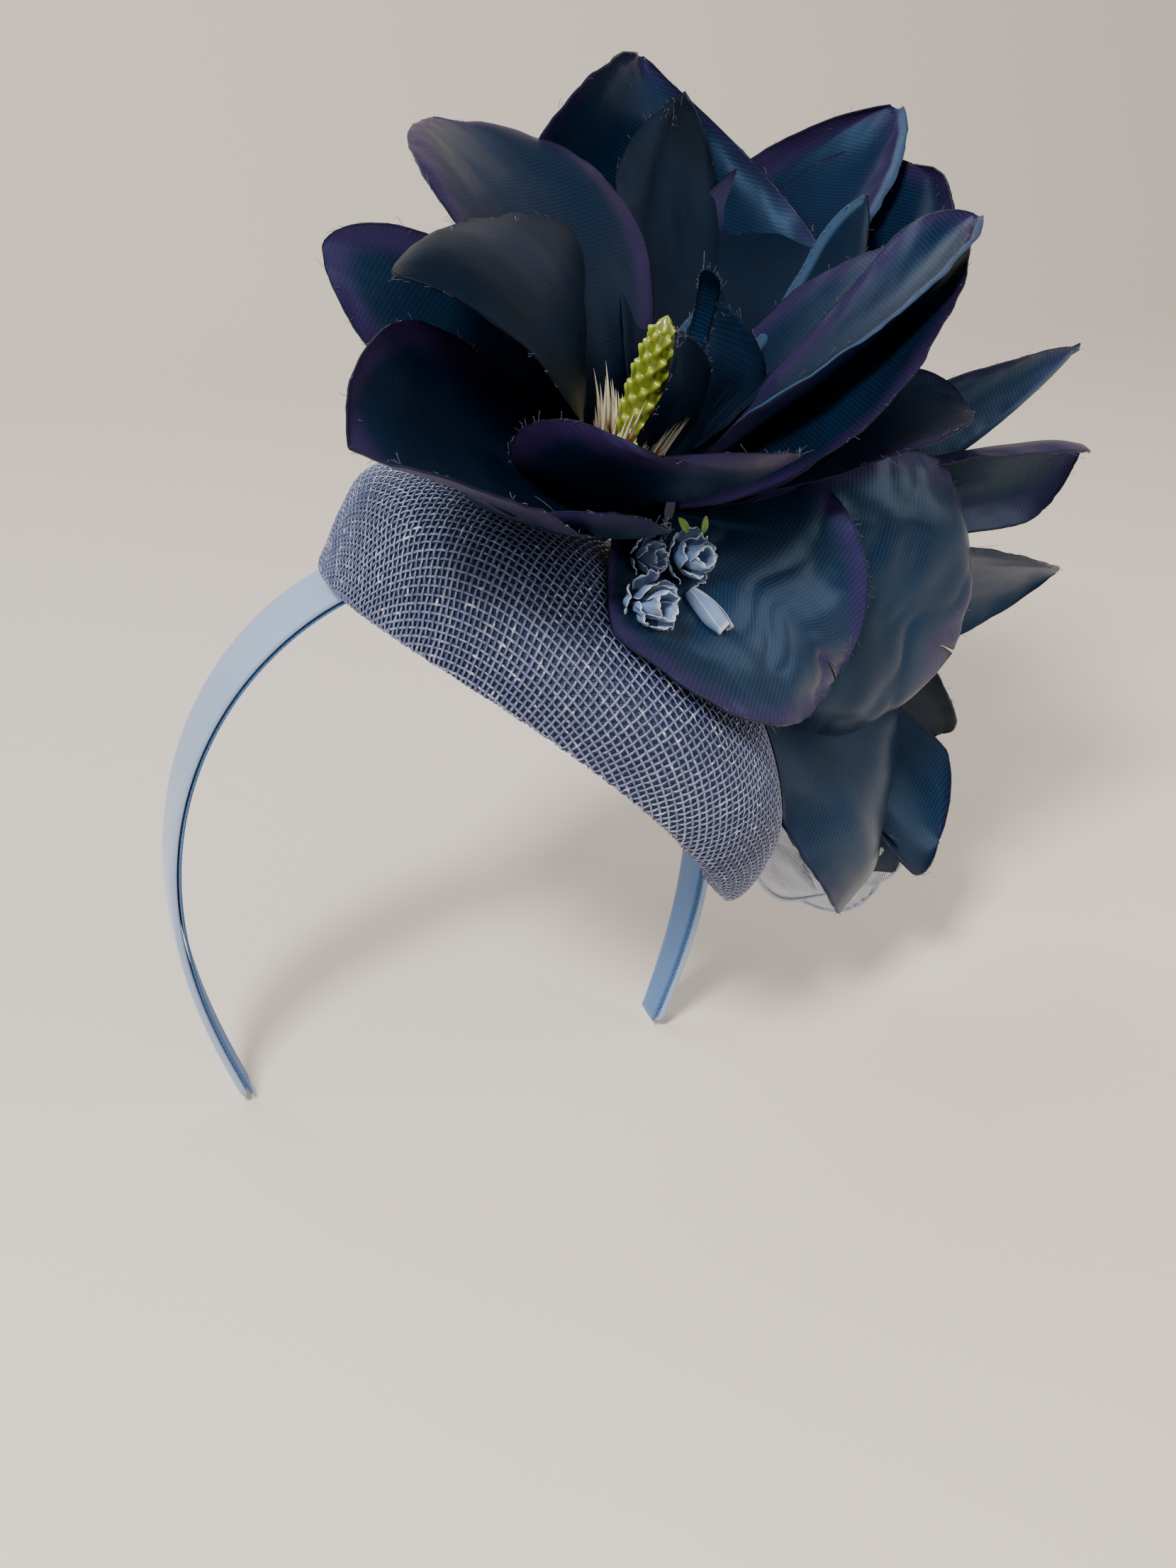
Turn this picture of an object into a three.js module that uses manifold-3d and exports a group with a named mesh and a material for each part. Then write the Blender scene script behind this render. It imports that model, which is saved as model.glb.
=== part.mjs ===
// Pillbox hat of woven straw on a satin headband, trimmed with two silk magnolias,
// a spray of paper roses and loops of stiff organza.
// Millimetres, +Z up. X runs across the head, -Y is the wearer's front, and the
// origin is the inner apex of the headband, where it rests on the head.
import * as THREE from 'three';
import Module from 'manifold-3d';

const wasm = await Module();
wasm.setup();

// Driving dimensions
const GAP = 0.4;
const SILK = 1.2;
const ORGANZA = 1.0;
const DEG = Math.PI / 180;

const CROWN = { centre: [21.6, -8, -51], tilt: 44.5 * DEG, wall: 2.2, arch: 14 };
// One row per section from the turned-in rim to the top: height over the rim plane and
// the reach to the wearer's right end, to the left end and to front and back.
const CROWN_SECTIONS = [
  { height: 2.0, right: 71, left: 76, half: 57 },
  { height: -0.5, right: 75, left: 80, half: 61 },
  { height: 5, right: 77, left: 82, half: 63 },
  { height: 14, right: 80, left: 80, half: 65 },
  { height: 26, right: 82, left: 75, half: 63 },
  { height: 38, right: 75, left: 62, half: 53 },
  { height: 48, right: 57, left: 44, half: 38 },
  { height: 54, right: 30, left: 23, half: 20 },
  { height: 55.5, right: 0, left: 0, half: 0 },
];

const BAND = {
  length: 203,
  sweep: 110 * DEG,
  ease: 1.6,
  wideHalf: 12.6,
  narrowHalf: 6,
  thick: 2.4,
  lining: 0.9,
  liningInset: 1.2,
};

// The flowers and the organza: seat in the crown's own directions, and where each faces
const FLOWERS = {
  upper: { along: -26, across: -10, up: 72, turn: -68 * DEG, rise: 67.5 * DEG },
  lower: { along: -2, across: -20, up: 67, turn: -67 * DEG, rise: 14 * DEG },
  loops: { along: 68, across: 6, up: 32, turn: -67 * DEG, rise: 14 * DEG },
};

// A row per petal, front ones first. spin is round the flower's axis, lean is the angle
// from that axis at base, middle and tip; lengths in mm, angles in degrees.
const PETALS = [
  { name: 'petal_front', flower: 'upper', spin: 252, lean: [75, 39, 37], length: 47, width: 78,
    peak: 0.5, blunt: 0.45, cup: 28, curl: -0.06, roll: 23, twist: -22, sway: -7, start: 7, rise: 4 },
  { name: 'petal_front_lower', flower: 'upper', spin: 216, lean: [86, 72, 47], length: 61, width: 61,
    peak: 0.65, blunt: 0.48, cup: 25, curl: -0.11, roll: 9, twist: 10, sway: -1, start: 8, rise: 0 },
  { name: 'petal_apron', flower: 'upper', spin: 226, lean: [97, 142, 125], length: 16, width: 32,
    peak: 0.67, blunt: 0.45, cup: 16, curl: -0.08, roll: 34, twist: -1, sway: 2, start: 0.5, rise: 2.4 },
  { name: 'petal_left_cup', flower: 'upper', spin: 195, lean: [90, 57, 79], length: 109, width: 75,
    peak: 0.65, blunt: 0.69, cup: 45, curl: 0.01, roll: -15, twist: 13, sway: 19, start: 8, rise: 0 },
  { name: 'petal_left_inner', flower: 'upper', spin: 133, lean: [11, 25, 107], length: 74, width: 96,
    peak: 0.87, blunt: 0.49, cup: -3, curl: 0.13, roll: 37, twist: -28, sway: 18, start: 22.8, rise: 4.3 },
  { name: 'petal_left_outer', flower: 'upper', spin: 161, lean: [70, 55, 84], length: 99, width: 39,
    peak: 0.57, blunt: 0.6, cup: 26, curl: 0, roll: -35, twist: -28, sway: -11, start: 8, rise: -3 },
  { name: 'petal_bud_front', flower: 'upper', spin: 29, lean: [71, 57, -16], length: 48, width: 43,
    peak: 0.48, blunt: 0.71, cup: 39, curl: 0.28, roll: 33, twist: 29, sway: 23, start: 5, rise: 8 },
  { name: 'petal_bud_side', flower: 'upper', spin: 298, lean: [14, 6, -21], length: 45, width: 31,
    peak: 0.43, blunt: 0.71, cup: 30, curl: 0.32, roll: -1, twist: 23, sway: -12, start: 0, rise: 9.6 },
  { name: 'petal_bud_tip', flower: 'upper', spin: 57, lean: [24, 19, -48], length: 56, width: 6,
    peak: 0.9, blunt: 0.58, cup: 22, curl: -0.06, roll: 0, twist: -2, sway: 3, start: 5.1, rise: 9 },
  { name: 'petal_upper_left', flower: 'upper', spin: 120, lean: [27, 57, 105], length: 118, width: 78,
    peak: 0.59, blunt: 0.77, cup: 21, curl: 0.16, roll: 13, twist: -5, sway: -7, start: 11.3, rise: -2.6 },
  { name: 'petal_top_inner', flower: 'upper', spin: 69, lean: [37, 78, 17], length: 117, width: 58,
    peak: 0.58, blunt: 0.69, cup: 27, curl: 0.25, roll: 11, twist: 38, sway: 9, start: 19.3, rise: 5.7 },
  { name: 'petal_top', flower: 'upper', spin: 63, lean: [96, 50, 48], length: 135, width: 106,
    peak: 0.59, blunt: 0.88, cup: 32, curl: -0.19, roll: -26, twist: 69, sway: 38, start: 20.9, rise: -10 },
  { name: 'petal_right_slim', flower: 'upper', spin: 33, lean: [65, 69, 50], length: 109, width: 16,
    peak: 0.78, blunt: 0.76, cup: 25, curl: -0.05, roll: 0, twist: 0, sway: 19, start: 9, rise: 7.1 },
  { name: 'petal_right', flower: 'upper', spin: 7, lean: [45, 51, 31], length: 112, width: 46,
    peak: 0.81, blunt: 0.74, cup: 53, curl: 0.12, roll: -50, twist: 30, sway: 15, start: 4.1, rise: -1.7 },
  { name: 'petal_upper_right', flower: 'upper', spin: 65, lean: [42, 77, 21], length: 159, width: 49,
    peak: 0.68, blunt: 0.63, cup: 18, curl: -0.35, roll: 12, twist: -35, sway: -45, start: 7.7, rise: -8.1 },
  { name: 'petal_right_lower', flower: 'upper', spin: 12, lean: [66, 45, 54], length: 107, width: 67,
    peak: 0.59, blunt: 0.69, cup: 23, curl: 0.06, roll: 0, twist: -25, sway: 10, start: 7.2, rise: -2.5 },
  { name: 'petal_right_back', flower: 'upper', spin: 38, lean: [54, 73, 45], length: 143, width: 70,
    peak: 0.62, blunt: 0.38, cup: 21, curl: -0.19, roll: -14, twist: -7, sway: 11, start: 12.1, rise: -5.3 },
  { name: 'petal_right_under', flower: 'upper', spin: 2, lean: [65, 63, 93], length: 90, width: 36,
    peak: 0.6, blunt: 0.5, cup: 31, curl: 0, roll: 3, twist: 3, sway: 1, start: 8, rise: -4 },
  { name: 'leaf_heart_front', flower: 'lower', spin: 314, lean: [54, 64, 121], length: 83, width: 92,
    peak: 0.23, blunt: 0.71, cup: 8, curl: -0.11, roll: -31, twist: 34, sway: 1, start: -26.2, rise: -10.8,
    notch: 0.12 },
  { name: 'leaf_heart_back', flower: 'lower', spin: 343, lean: [59, 79, 105], length: 105, width: 96,
    peak: 0.72, blunt: 0.42, cup: -11, curl: 0.35, roll: 13, twist: 12, sway: -6, start: -2, rise: -11,
    notch: 0.08 },
  { name: 'leaf_right_top', flower: 'lower', spin: 20, lean: [85, 76, 73], length: 149, width: 27,
    peak: 0.46, blunt: 0.9, cup: 34, curl: 0, roll: 3, twist: 4, sway: 1, start: 5, rise: -13 },
  { name: 'leaf_right_middle', flower: 'lower', spin: 16, lean: [92, 79, 76], length: 152, width: 46,
    peak: 0.83, blunt: 0.8, cup: 51, curl: -0.21, roll: 26, twist: 28, sway: -23, start: 5, rise: -15 },
  { name: 'leaf_right_low', flower: 'lower', spin: 349, lean: [91, 81, 86], length: 152, width: 51,
    peak: 0.6, blunt: 0.8, cup: 39, curl: -0.07, roll: 19, twist: 40, sway: 12, start: 5, rise: -18.5 },
  { name: 'leaf_down_front', flower: 'lower', spin: 322, lean: [170, 76, 152], length: 121, width: 98,
    peak: 0.77, blunt: 0.49, cup: -6, curl: 0.16, roll: -43, twist: 34, sway: -7, start: 20.1, rise: 0.1 },
  { name: 'leaf_down_right', flower: 'lower', spin: 325, lean: [96, 85, 70], length: 128, width: 47,
    peak: 0.88, blunt: 0.75, cup: 38, curl: -0.12, roll: -32, twist: 26, sway: -20, start: 19.6, rise: -27.6 },
  { name: 'leaf_down_back', flower: 'lower', spin: 336, lean: [109, 92, 86], length: 133, width: 57,
    peak: 0.62, blunt: 0.61, cup: 36, curl: -0.18, roll: 14, twist: 52, sway: -10, start: 17, rise: -23.8 },
  { name: 'leaf_down_small', flower: 'loops', spin: 303, lean: [84, 84, 164], length: 56, width: 25,
    peak: 0.74, blunt: 0.49, cup: 26, curl: -0.24, roll: -12, twist: 40, sway: 23, start: 7.4, rise: 5 },
  { name: 'organza_loop_front', flower: 'loops', spin: 322, lean: [62, 105, 81], length: 69, width: 40,
    peak: 0.66, blunt: 0.38, cup: -15, curl: 0.03, roll: 23, twist: 28, sway: -13, start: 3.9, rise: 4.3 },
  { name: 'organza_loop_back', flower: 'loops', spin: 308, lean: [85, 81, 123], length: 66, width: 43,
    peak: 0.65, blunt: 0.45, cup: 1, curl: -0.09, roll: 22, twist: 24, sway: 7, start: 2, rise: -3 },
];

// Seats of the roses, in the lower flower's frame (sideways, upwards, outwards)
const ROSES = [
  { name: 'rose_left', at: [-32, -4.4, 15.5], radius: 7.4, lobes: 5, phase: 0 },
  { name: 'rose_right', at: [-11.3, 5.6, 9], radius: 6.8, lobes: 5, phase: 1.1 },
  { name: 'rose_behind', at: [-23, 6.5, 5.5], radius: 5.2, lobes: 4, phase: 2.3 },
];
const ROSE_BUD = { name: 'rose_bud', from: [-15, -2.6, 9.6], to: [-9.2, -14.3, 17], radius: 2.6 };

const PISTIL = { base: [-7.8, 1.5, 6], tip: [-6.7, 5.8, 50.4], radius: 5.4 };
const STAMENS = { count: 9, ring: 7.2, height: 27, radius: 1.1 };

// The hidden seat of each flower: a stubby calyx between the crown and the petals
const CALYXES = [
  { name: 'calyx_upper', flower: 'upper', radius: 9, from: -15, to: 7 },
  { name: 'calyx_lower', flower: 'lower', radius: 7.5, from: -26, to: -2 },
];

const finish = (color, roughness) => new THREE.MeshStandardMaterial({ color, roughness, metalness: 0 });
const STRAW = finish(0x6b7aa6, 0.45);
const SATIN = finish(0x8aa3c4, 0.45);
const RIBBON = finish(0x3f6699, 0.6);
const SILK_NAVY = finish(0x1d3a5c, 0.55);
const SILK_PLUM = finish(0x2b3157, 0.55);
const ORGANZA_PALE = finish(0xc3cbdc, 0.4);
const PAPER = finish(0x8296b3, 0.85);
const PISTIL_GREEN = finish(0x8b9a35, 0.35);
const STAMEN_CREAM = finish(0xe8dcc0, 0.6);

// Vectors and frames
const vec = (x, y, z) => new THREE.Vector3(x, y, z);
const CROWN_UP = vec(Math.sin(CROWN.tilt), 0, Math.cos(CROWN.tilt));
const CROWN_ALONG = vec(Math.cos(CROWN.tilt), 0, -Math.sin(CROWN.tilt));
const CROWN_ACROSS = vec(0, 1, 0);

function crownPlace(along, across, up) {
  return vec(...CROWN.centre)
    .addScaledVector(CROWN_ALONG, along)
    .addScaledVector(CROWN_ACROSS, across)
    .addScaledVector(CROWN_UP, up);
}

function flowerFrame({ along, across, up, turn, rise }) {
  const axis = vec(Math.cos(rise) * Math.cos(turn), Math.cos(rise) * Math.sin(turn), Math.sin(rise));
  const side = vec(1, 0, 0).addScaledVector(axis, -axis.x).normalize();
  const top = axis.clone().cross(side);
  const origin = crownPlace(along, across, up);
  const place = (x, y, z) =>
    origin.clone().addScaledVector(side, x).addScaledVector(top, y).addScaledVector(axis, z);
  return { origin, axis, side, top, place };
}

const FRAMES = {
  upper: flowerFrame(FLOWERS.upper),
  lower: flowerFrame(FLOWERS.lower),
  loops: flowerFrame(FLOWERS.loops),
};

const lerp = (a, b, t) => a + (b - a) * t;
const clamp = (x, lo, hi) => Math.min(hi, Math.max(lo, x));

// A smooth value of one column of a table, t running 0 to 1 over its rows
function column(rows, key, t) {
  const x = clamp(t, 0, 1) * (rows.length - 1);
  const i = Math.min(Math.floor(x), rows.length - 2);
  const at = (k) => rows[clamp(k, 0, rows.length - 1)][key];
  const f = x - i;
  const m0 = (at(i + 1) - at(i - 1)) / 2;
  const m1 = (at(i + 2) - at(i)) / 2;
  const f2 = f * f;
  const f3 = f2 * f;
  return (
    at(i) * (2 * f3 - 3 * f2 + 1) + m0 * (f3 - 2 * f2 + f) + at(i + 1) * (3 * f2 - 2 * f3) + m1 * (f3 - f2)
  );
}

// Solids from grids of points
function toManifold(points, triangles) {
  return new wasm.Manifold(
    new wasm.Mesh({
      numProp: 3,
      vertProperties: new Float32Array(points.flatMap((p) => [p.x, p.y, p.z])),
      triVerts: new Uint32Array(triangles.flat()),
    }),
  );
}

function tangents(point, u, v) {
  const step = 1e-3;
  const du = point(u + step, v).sub(point(u - step, v)).normalize();
  const dv = point(u, v + step).sub(point(u, v - step)).normalize();
  return { du, dv, normal: du.clone().cross(dv).normalize() };
}

// A wall of even thickness round the surface point(u, v), u and v running 0 to 1. With
// grow above zero every face and edge of it moves outwards by that much.
function wall(point, rows, columns, thick, grow = 0) {
  const points = [];
  for (const side of [1, -1]) {
    for (let i = 0; i <= rows; i++) {
      for (let j = 0; j <= columns; j++) {
        const { du, dv, normal } = tangents(point, i / rows, j / columns);
        const endwise = i === 0 ? -grow : i === rows ? grow : 0;
        const edgewise = j === 0 ? -grow : j === columns ? grow : 0;
        const corner = point(i / rows, j / columns).addScaledVector(normal, side * (thick / 2 + grow));
        points.push(corner.addScaledVector(du, endwise).addScaledVector(dv, edgewise));
      }
    }
  }
  const layer = (rows + 1) * (columns + 1);
  const id = (k, i, j) => k * layer + i * (columns + 1) + j;
  const triangles = [];
  const quad = (a, b, c, d) => triangles.push([a, b, c], [a, c, d]);
  for (let i = 0; i < rows; i++) {
    for (let j = 0; j < columns; j++) {
      quad(id(0, i, j), id(0, i + 1, j), id(0, i + 1, j + 1), id(0, i, j + 1));
      quad(id(1, i, j), id(1, i, j + 1), id(1, i + 1, j + 1), id(1, i + 1, j));
    }
  }
  for (let j = 0; j < columns; j++) {
    quad(id(0, 0, j), id(0, 0, j + 1), id(1, 0, j + 1), id(1, 0, j));
    quad(id(0, rows, j + 1), id(0, rows, j), id(1, rows, j), id(1, rows, j + 1));
  }
  for (let i = 0; i < rows; i++) {
    quad(id(0, i + 1, 0), id(0, i, 0), id(1, i, 0), id(1, i + 1, 0));
    quad(id(0, i, columns), id(0, i + 1, columns), id(1, i + 1, columns), id(1, i, columns));
  }
  return toManifold(points, triangles);
}

// A body with a pole at each end, ring(u, v) closed in v
function pod(ring, rows, columns) {
  const points = [ring(0, 0)];
  for (let i = 1; i < rows; i++) {
    for (let j = 0; j < columns; j++) points.push(ring(i / rows, j / columns));
  }
  points.push(ring(1, 0));
  const last = points.length - 1;
  const id = (i, j) => 1 + (i - 1) * columns + (j % columns);
  const triangles = [];
  for (let j = 0; j < columns; j++) {
    triangles.push([0, id(1, j + 1), id(1, j)], [last, id(rows - 1, j), id(rows - 1, j + 1)]);
    for (let i = 1; i < rows - 1; i++) {
      triangles.push([id(i, j), id(i, j + 1), id(i + 1, j + 1)], [id(i, j), id(i + 1, j + 1), id(i + 1, j)]);
    }
  }
  return toManifold(points, triangles);
}

// Crown
function crownPoint(t, turn, inset) {
  const across = Math.cos(turn);
  const reach = column(CROWN_SECTIONS, across > 0 ? 'left' : 'right', t) - inset;
  const half = column(CROWN_SECTIONS, 'half', t) - inset;
  const lift = CROWN.arch * Math.sin(turn) ** 2 * (1 - t);
  const height = column(CROWN_SECTIONS, 'height', t) + lift - inset * clamp(t * 2 - 0.6, 0, 1);
  return crownPlace(Math.max(reach, 0) * across, Math.max(half, 0) * Math.sin(turn), height);
}

function crownSolid(inset, from) {
  const columns = 22;
  const rows = 7;
  const ring = (u, v) => crownPoint(lerp(from, 1, clamp((u * (rows + 1) - 1) / rows, 0, 1)), v * 2 * Math.PI, inset);
  const floor = crownPlace(0, 0, CROWN_SECTIONS[0].height + CROWN.arch / 2);
  return pod((u, v) => (u === 0 ? floor : ring(u, v)), rows + 1, columns);
}

function crown() {
  const outer = crownSolid(0, 0);
  const inner = crownSolid(CROWN.wall, 0);
  const well = crownSolid(CROWN.wall, 0).translate([-CROWN_UP.x * 14, 0, -CROWN_UP.z * 14]);
  return outer.subtract(inner).subtract(well);
}

// Headband
function bandRoute(s) {
  const steps = 60;
  const x = [0];
  const z = [0];
  const heading = (k) => BAND.sweep * (1 - Math.max(1 - k, 0) ** BAND.ease);
  for (let i = 0; i < steps; i++) {
    const a = heading((i + 0.5) / steps);
    x.push(x[i] + (Math.cos(a) * BAND.length) / steps);
    z.push(z[i] - (Math.sin(a) * BAND.length) / steps);
  }
  const k = Math.abs(s) * steps;
  const i = Math.min(Math.floor(k), steps - 1);
  const side = Math.sign(s) || 1;
  return { x: side * lerp(x[i], x[i + 1], k - i), z: lerp(z[i], z[i + 1], k - i), tilt: side * heading(Math.abs(s)) };
}

function strap(inner, thick, inset) {
  const point = (u, v) => {
    const s = 2 * u - 1;
    const { x, z, tilt } = bandRoute(s);
    const taper = clamp((Math.abs(s) - 0.25) / 0.75, 0, 1) ** 1.2;
    const half = lerp(BAND.wideHalf, BAND.narrowHalf, taper) - inset;
    const out = inner + thick / 2;
    return vec(x + Math.sin(tilt) * out, (2 * v - 1) * half, z + Math.cos(tilt) * out);
  };
  return wall(point, 24, 1, thick);
}

// Petals
function petalPoint(row) {
  const frame = FRAMES[row.flower];
  const spin = row.spin * DEG;
  const outward = frame.side.clone().multiplyScalar(Math.cos(spin)).addScaledVector(frame.top, Math.sin(spin));
  const tangent = frame.axis.clone().cross(outward);
  const length = row.length;
  const [l0, l1, l2] = row.lean.map((a) => a * DEG);
  const lean = (t) => l0 * (1 - t) * (1 - 2 * t) + 4 * l1 * t * (1 - t) + l2 * t * (2 * t - 1);
  const steps = 40;
  const up = [row.rise];
  const out = [row.start];
  for (let i = 0; i < steps; i++) {
    const a = lean((i + 0.5) / steps);
    up.push(up[i] + (Math.cos(a) * length) / steps);
    out.push(out[i] + (Math.sin(a) * length) / steps);
  }
  const along = (list, t) => {
    const k = t * steps;
    const i = clamp(Math.floor(k), 0, steps - 1);
    return lerp(list[i], list[i + 1], k - i);
  };
  return (u, v) => {
    const w = 2 * v - 1;
    const t = u * (1 - (row.notch || 0) * Math.exp(-((w / 0.22) ** 2)));
    const swell = 0.16 + 0.84 * Math.sin((Math.PI / 2) * clamp(u / row.peak, 0, 1));
    const fade = clamp((u - row.peak) / (1 - row.peak), 0, 1);
    const spread = u < row.peak ? swell : (1 - fade * fade) ** row.blunt;
    const half = Math.max((row.width / 2) * spread, 1.2);
    const cup = (row.cup || 0.1) * DEG * Math.sin((Math.PI / 2) * clamp(u / 0.35, 0.3, 1));
    const across = (half * Math.sin(w * cup)) / cup;
    const edge = clamp((Math.abs(w) - 0.5) / 0.5, 0, 1);
    const depth = (half * (1 - Math.cos(w * cup))) / cup - row.curl * half * edge ** 2 * u;
    const a = lean(t);
    const inward = frame.axis.clone().multiplyScalar(Math.sin(a)).addScaledVector(outward, -Math.cos(a));
    const roll = (row.roll + row.twist * u) * DEG;
    const c = Math.cos(roll);
    const s = Math.sin(roll);
    return frame.origin
      .clone()
      .addScaledVector(frame.axis, along(up, t))
      .addScaledVector(outward, along(out, t))
      .addScaledVector(tangent, row.sway * t * t + across * c - depth * s)
      .addScaledVector(inward, across * s + depth * c);
  };
}

function petal(row, grow = 0) {
  const thick = row.name.startsWith('organza') ? ORGANZA : SILK;
  return wall(petalPoint(row), 6, 4, thick, grow);
}

// Centre of the upper flower
function between(frame, from, to) {
  const a = frame.place(...from);
  const b = frame.place(...to);
  const axis = b.clone().sub(a);
  const length = axis.length();
  axis.normalize();
  const side = vec(1, 0, 0).addScaledVector(axis, -axis.x).normalize();
  const top = axis.clone().cross(side);
  const place = (x, y, z) => a.clone().addScaledVector(side, x).addScaledVector(top, y).addScaledVector(axis, z);
  return { place, length };
}

function spindle(frame, from, to, radiusAt, rows, columns) {
  const { place, length } = between(frame, from, to);
  return pod(
    (u, v) => {
      const r = u === 0 || u === 1 ? 0 : radiusAt(u, v * 2 * Math.PI);
      return place(r * Math.cos(v * 2 * Math.PI), r * Math.sin(v * 2 * Math.PI), u * length);
    },
    rows,
    columns,
  );
}

const pistilRadius = (u, grow = 0) => PISTIL.radius * Math.min(1, 1.5 * u + 0.55) * (1 - u ** 4) ** 0.5 + grow;

function pistil(grow = 0) {
  return spindle(FRAMES.upper, PISTIL.base, PISTIL.tip, (u) => pistilRadius(u, grow), 7, 10);
}

function stamens() {
  const { place } = between(FRAMES.upper, PISTIL.base, PISTIL.tip);
  const collar = pod(
    (u, v) => {
      const r = u === 0 || u === 1 ? 0 : STAMENS.ring + 0.8;
      return place(r * Math.cos(v * 2 * Math.PI), r * Math.sin(v * 2 * Math.PI), lerp(-1, 5, u));
    },
    3,
    12,
  );
  let body = collar;
  for (let k = 0; k < STAMENS.count; k++) {
    const a = (k / STAMENS.count) * 2 * Math.PI;
    const reach = STAMENS.height * (0.75 + 0.25 * Math.sin(k * 2.4));
    const spike = pod(
      (u, v) => {
        const r = u === 0 || u === 1 ? 0 : STAMENS.radius;
        const out = STAMENS.ring + 5 * u * u;
        const at = place(out * Math.cos(a), out * Math.sin(a), 2 + reach * u);
        return at.add(vec(r * Math.cos(v * 2 * Math.PI), r * Math.sin(v * 2 * Math.PI), 0));
      },
      2,
      4,
    );
    body = body.add(spike);
  }
  return body;
}

function calyx({ flower, radius, from, to }, grow = 0) {
  const radiusAt = (u) => radius * (0.75 + 0.25 * Math.sin(Math.PI * u)) + grow;
  return spindle(FRAMES[flower], [0, 0, from - grow], [0, 0, to + grow], radiusAt, 5, 10);
}

// Paper roses
function rose({ at, radius, lobes, phase }) {
  const from = [at[0], at[1], at[2] - radius];
  const to = [at[0], at[1], at[2] + radius * 0.8];
  const radiusAt = (u, a) => {
    const bowl = Math.sin(Math.PI * Math.min(1, 0.12 + u * 0.8)) ** 0.6;
    return radius * bowl * (1 + 0.12 * Math.sin(lobes * a + phase + 5 * u));
  };
  return spindle(FRAMES.lower, from, to, radiusAt, 5, 12);
}

function roseBud(grow = 0) {
  const radiusAt = (u, a) => ROSE_BUD.radius * (0.55 + 0.5 * Math.sin(2.4 * u)) * (1 + 0.1 * Math.sin(3 * a)) + grow;
  return spindle(FRAMES.lower, ROSE_BUD.from, ROSE_BUD.to, radiusAt, 6, 9);
}

// Fitting: each piece gives way to those before it, and keeps its largest body, or the
// one that reaches the point given
function mainBody(solid, reaching) {
  const bodies = solid.decompose().sort((a, b) => b.volume() - a.volume());
  if (!reaching) return bodies[0];
  const distance = (body) => {
    const { min, max } = body.boundingBox();
    return new THREE.Box3(vec(...min), vec(...max)).distanceToPoint(reaching);
  };
  return bodies.filter((body) => distance(body) < 2)[0] || bodies[0];
}

const pieces = [];
const blockers = [];

function keep(name, solid, blocker, material, reaching) {
  const shape = mainBody(wasm.Manifold.difference([solid, ...blockers]), reaching);
  pieces.push({ name, shape: mainBody(shape.simplify(0.18), reaching), material });
  if (blocker) blockers.push(blocker);
}

function keepPetal(row) {
  const cloth = row.name.startsWith('organza') ? ORGANZA_PALE : row.flower === 'upper' ? SILK_NAVY : SILK_PLUM;
  keep(row.name, petal(row), petal(row, GAP).add(petal(row)), cloth, petalPoint(row)(0.97, 0.5));
}

keep('headband', strap(BAND.lining + GAP, BAND.thick, 0), null, SATIN);
keep('headband_lining', strap(0, BAND.lining, BAND.liningInset), null, RIBBON);
blockers.push(strap(-GAP, BAND.lining + BAND.thick + 3 * GAP, -GAP));
keep('crown', crown(), crownSolid(-GAP, 0), STRAW);
for (const row of CALYXES) keep(row.name, calyx(row), calyx(row, GAP), SILK_PLUM);
keep('pistil', pistil(), pistil(GAP), PISTIL_GREEN);
keepPetal(PETALS[0]);
for (const row of ROSES) keep(row.name, rose(row), rose({ ...row, radius: row.radius + GAP }), PAPER);
keep(ROSE_BUD.name, roseBud(), roseBud(GAP), PAPER);
PETALS.slice(1).forEach(keepPetal);
keep('stamens', stamens(), null, STAMEN_CREAM);

function toMesh({ name, shape, material }) {
  const { vertProperties, triVerts } = shape.getMesh();
  const geometry = new THREE.BufferGeometry();
  geometry.setAttribute('position', new THREE.BufferAttribute(new Float32Array(vertProperties), 3));
  geometry.setIndex(new THREE.BufferAttribute(new Uint32Array(triVerts), 1));
  geometry.computeVertexNormals();
  const mesh = new THREE.Mesh(geometry, material);
  mesh.name = name;
  return mesh;
}

const group = new THREE.Group();
for (const piece of pieces) group.add(toMesh(piece));

export default group;
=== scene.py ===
"""A tilted pillbox hat of woven straw on a satin headband, dressed with silk magnolias."""

import math

import bpy
import numpy as np
from mathutils import Matrix, Vector
from mathutils.bvhtree import BVHTree


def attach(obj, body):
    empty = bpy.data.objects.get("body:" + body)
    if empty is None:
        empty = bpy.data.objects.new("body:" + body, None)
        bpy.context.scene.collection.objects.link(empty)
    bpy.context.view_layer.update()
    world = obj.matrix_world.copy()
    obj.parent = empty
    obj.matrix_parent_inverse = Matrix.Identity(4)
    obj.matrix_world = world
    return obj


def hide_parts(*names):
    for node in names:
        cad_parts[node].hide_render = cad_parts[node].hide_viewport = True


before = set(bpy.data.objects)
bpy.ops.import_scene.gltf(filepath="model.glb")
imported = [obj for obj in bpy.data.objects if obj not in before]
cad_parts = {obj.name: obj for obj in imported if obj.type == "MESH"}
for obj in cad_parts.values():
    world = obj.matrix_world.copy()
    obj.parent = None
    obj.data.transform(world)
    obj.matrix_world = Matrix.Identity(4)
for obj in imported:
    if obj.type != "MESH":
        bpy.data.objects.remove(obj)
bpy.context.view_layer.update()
rng = np.random.default_rng(7)

MM = 0.001
DEG = math.pi / 180

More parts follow.
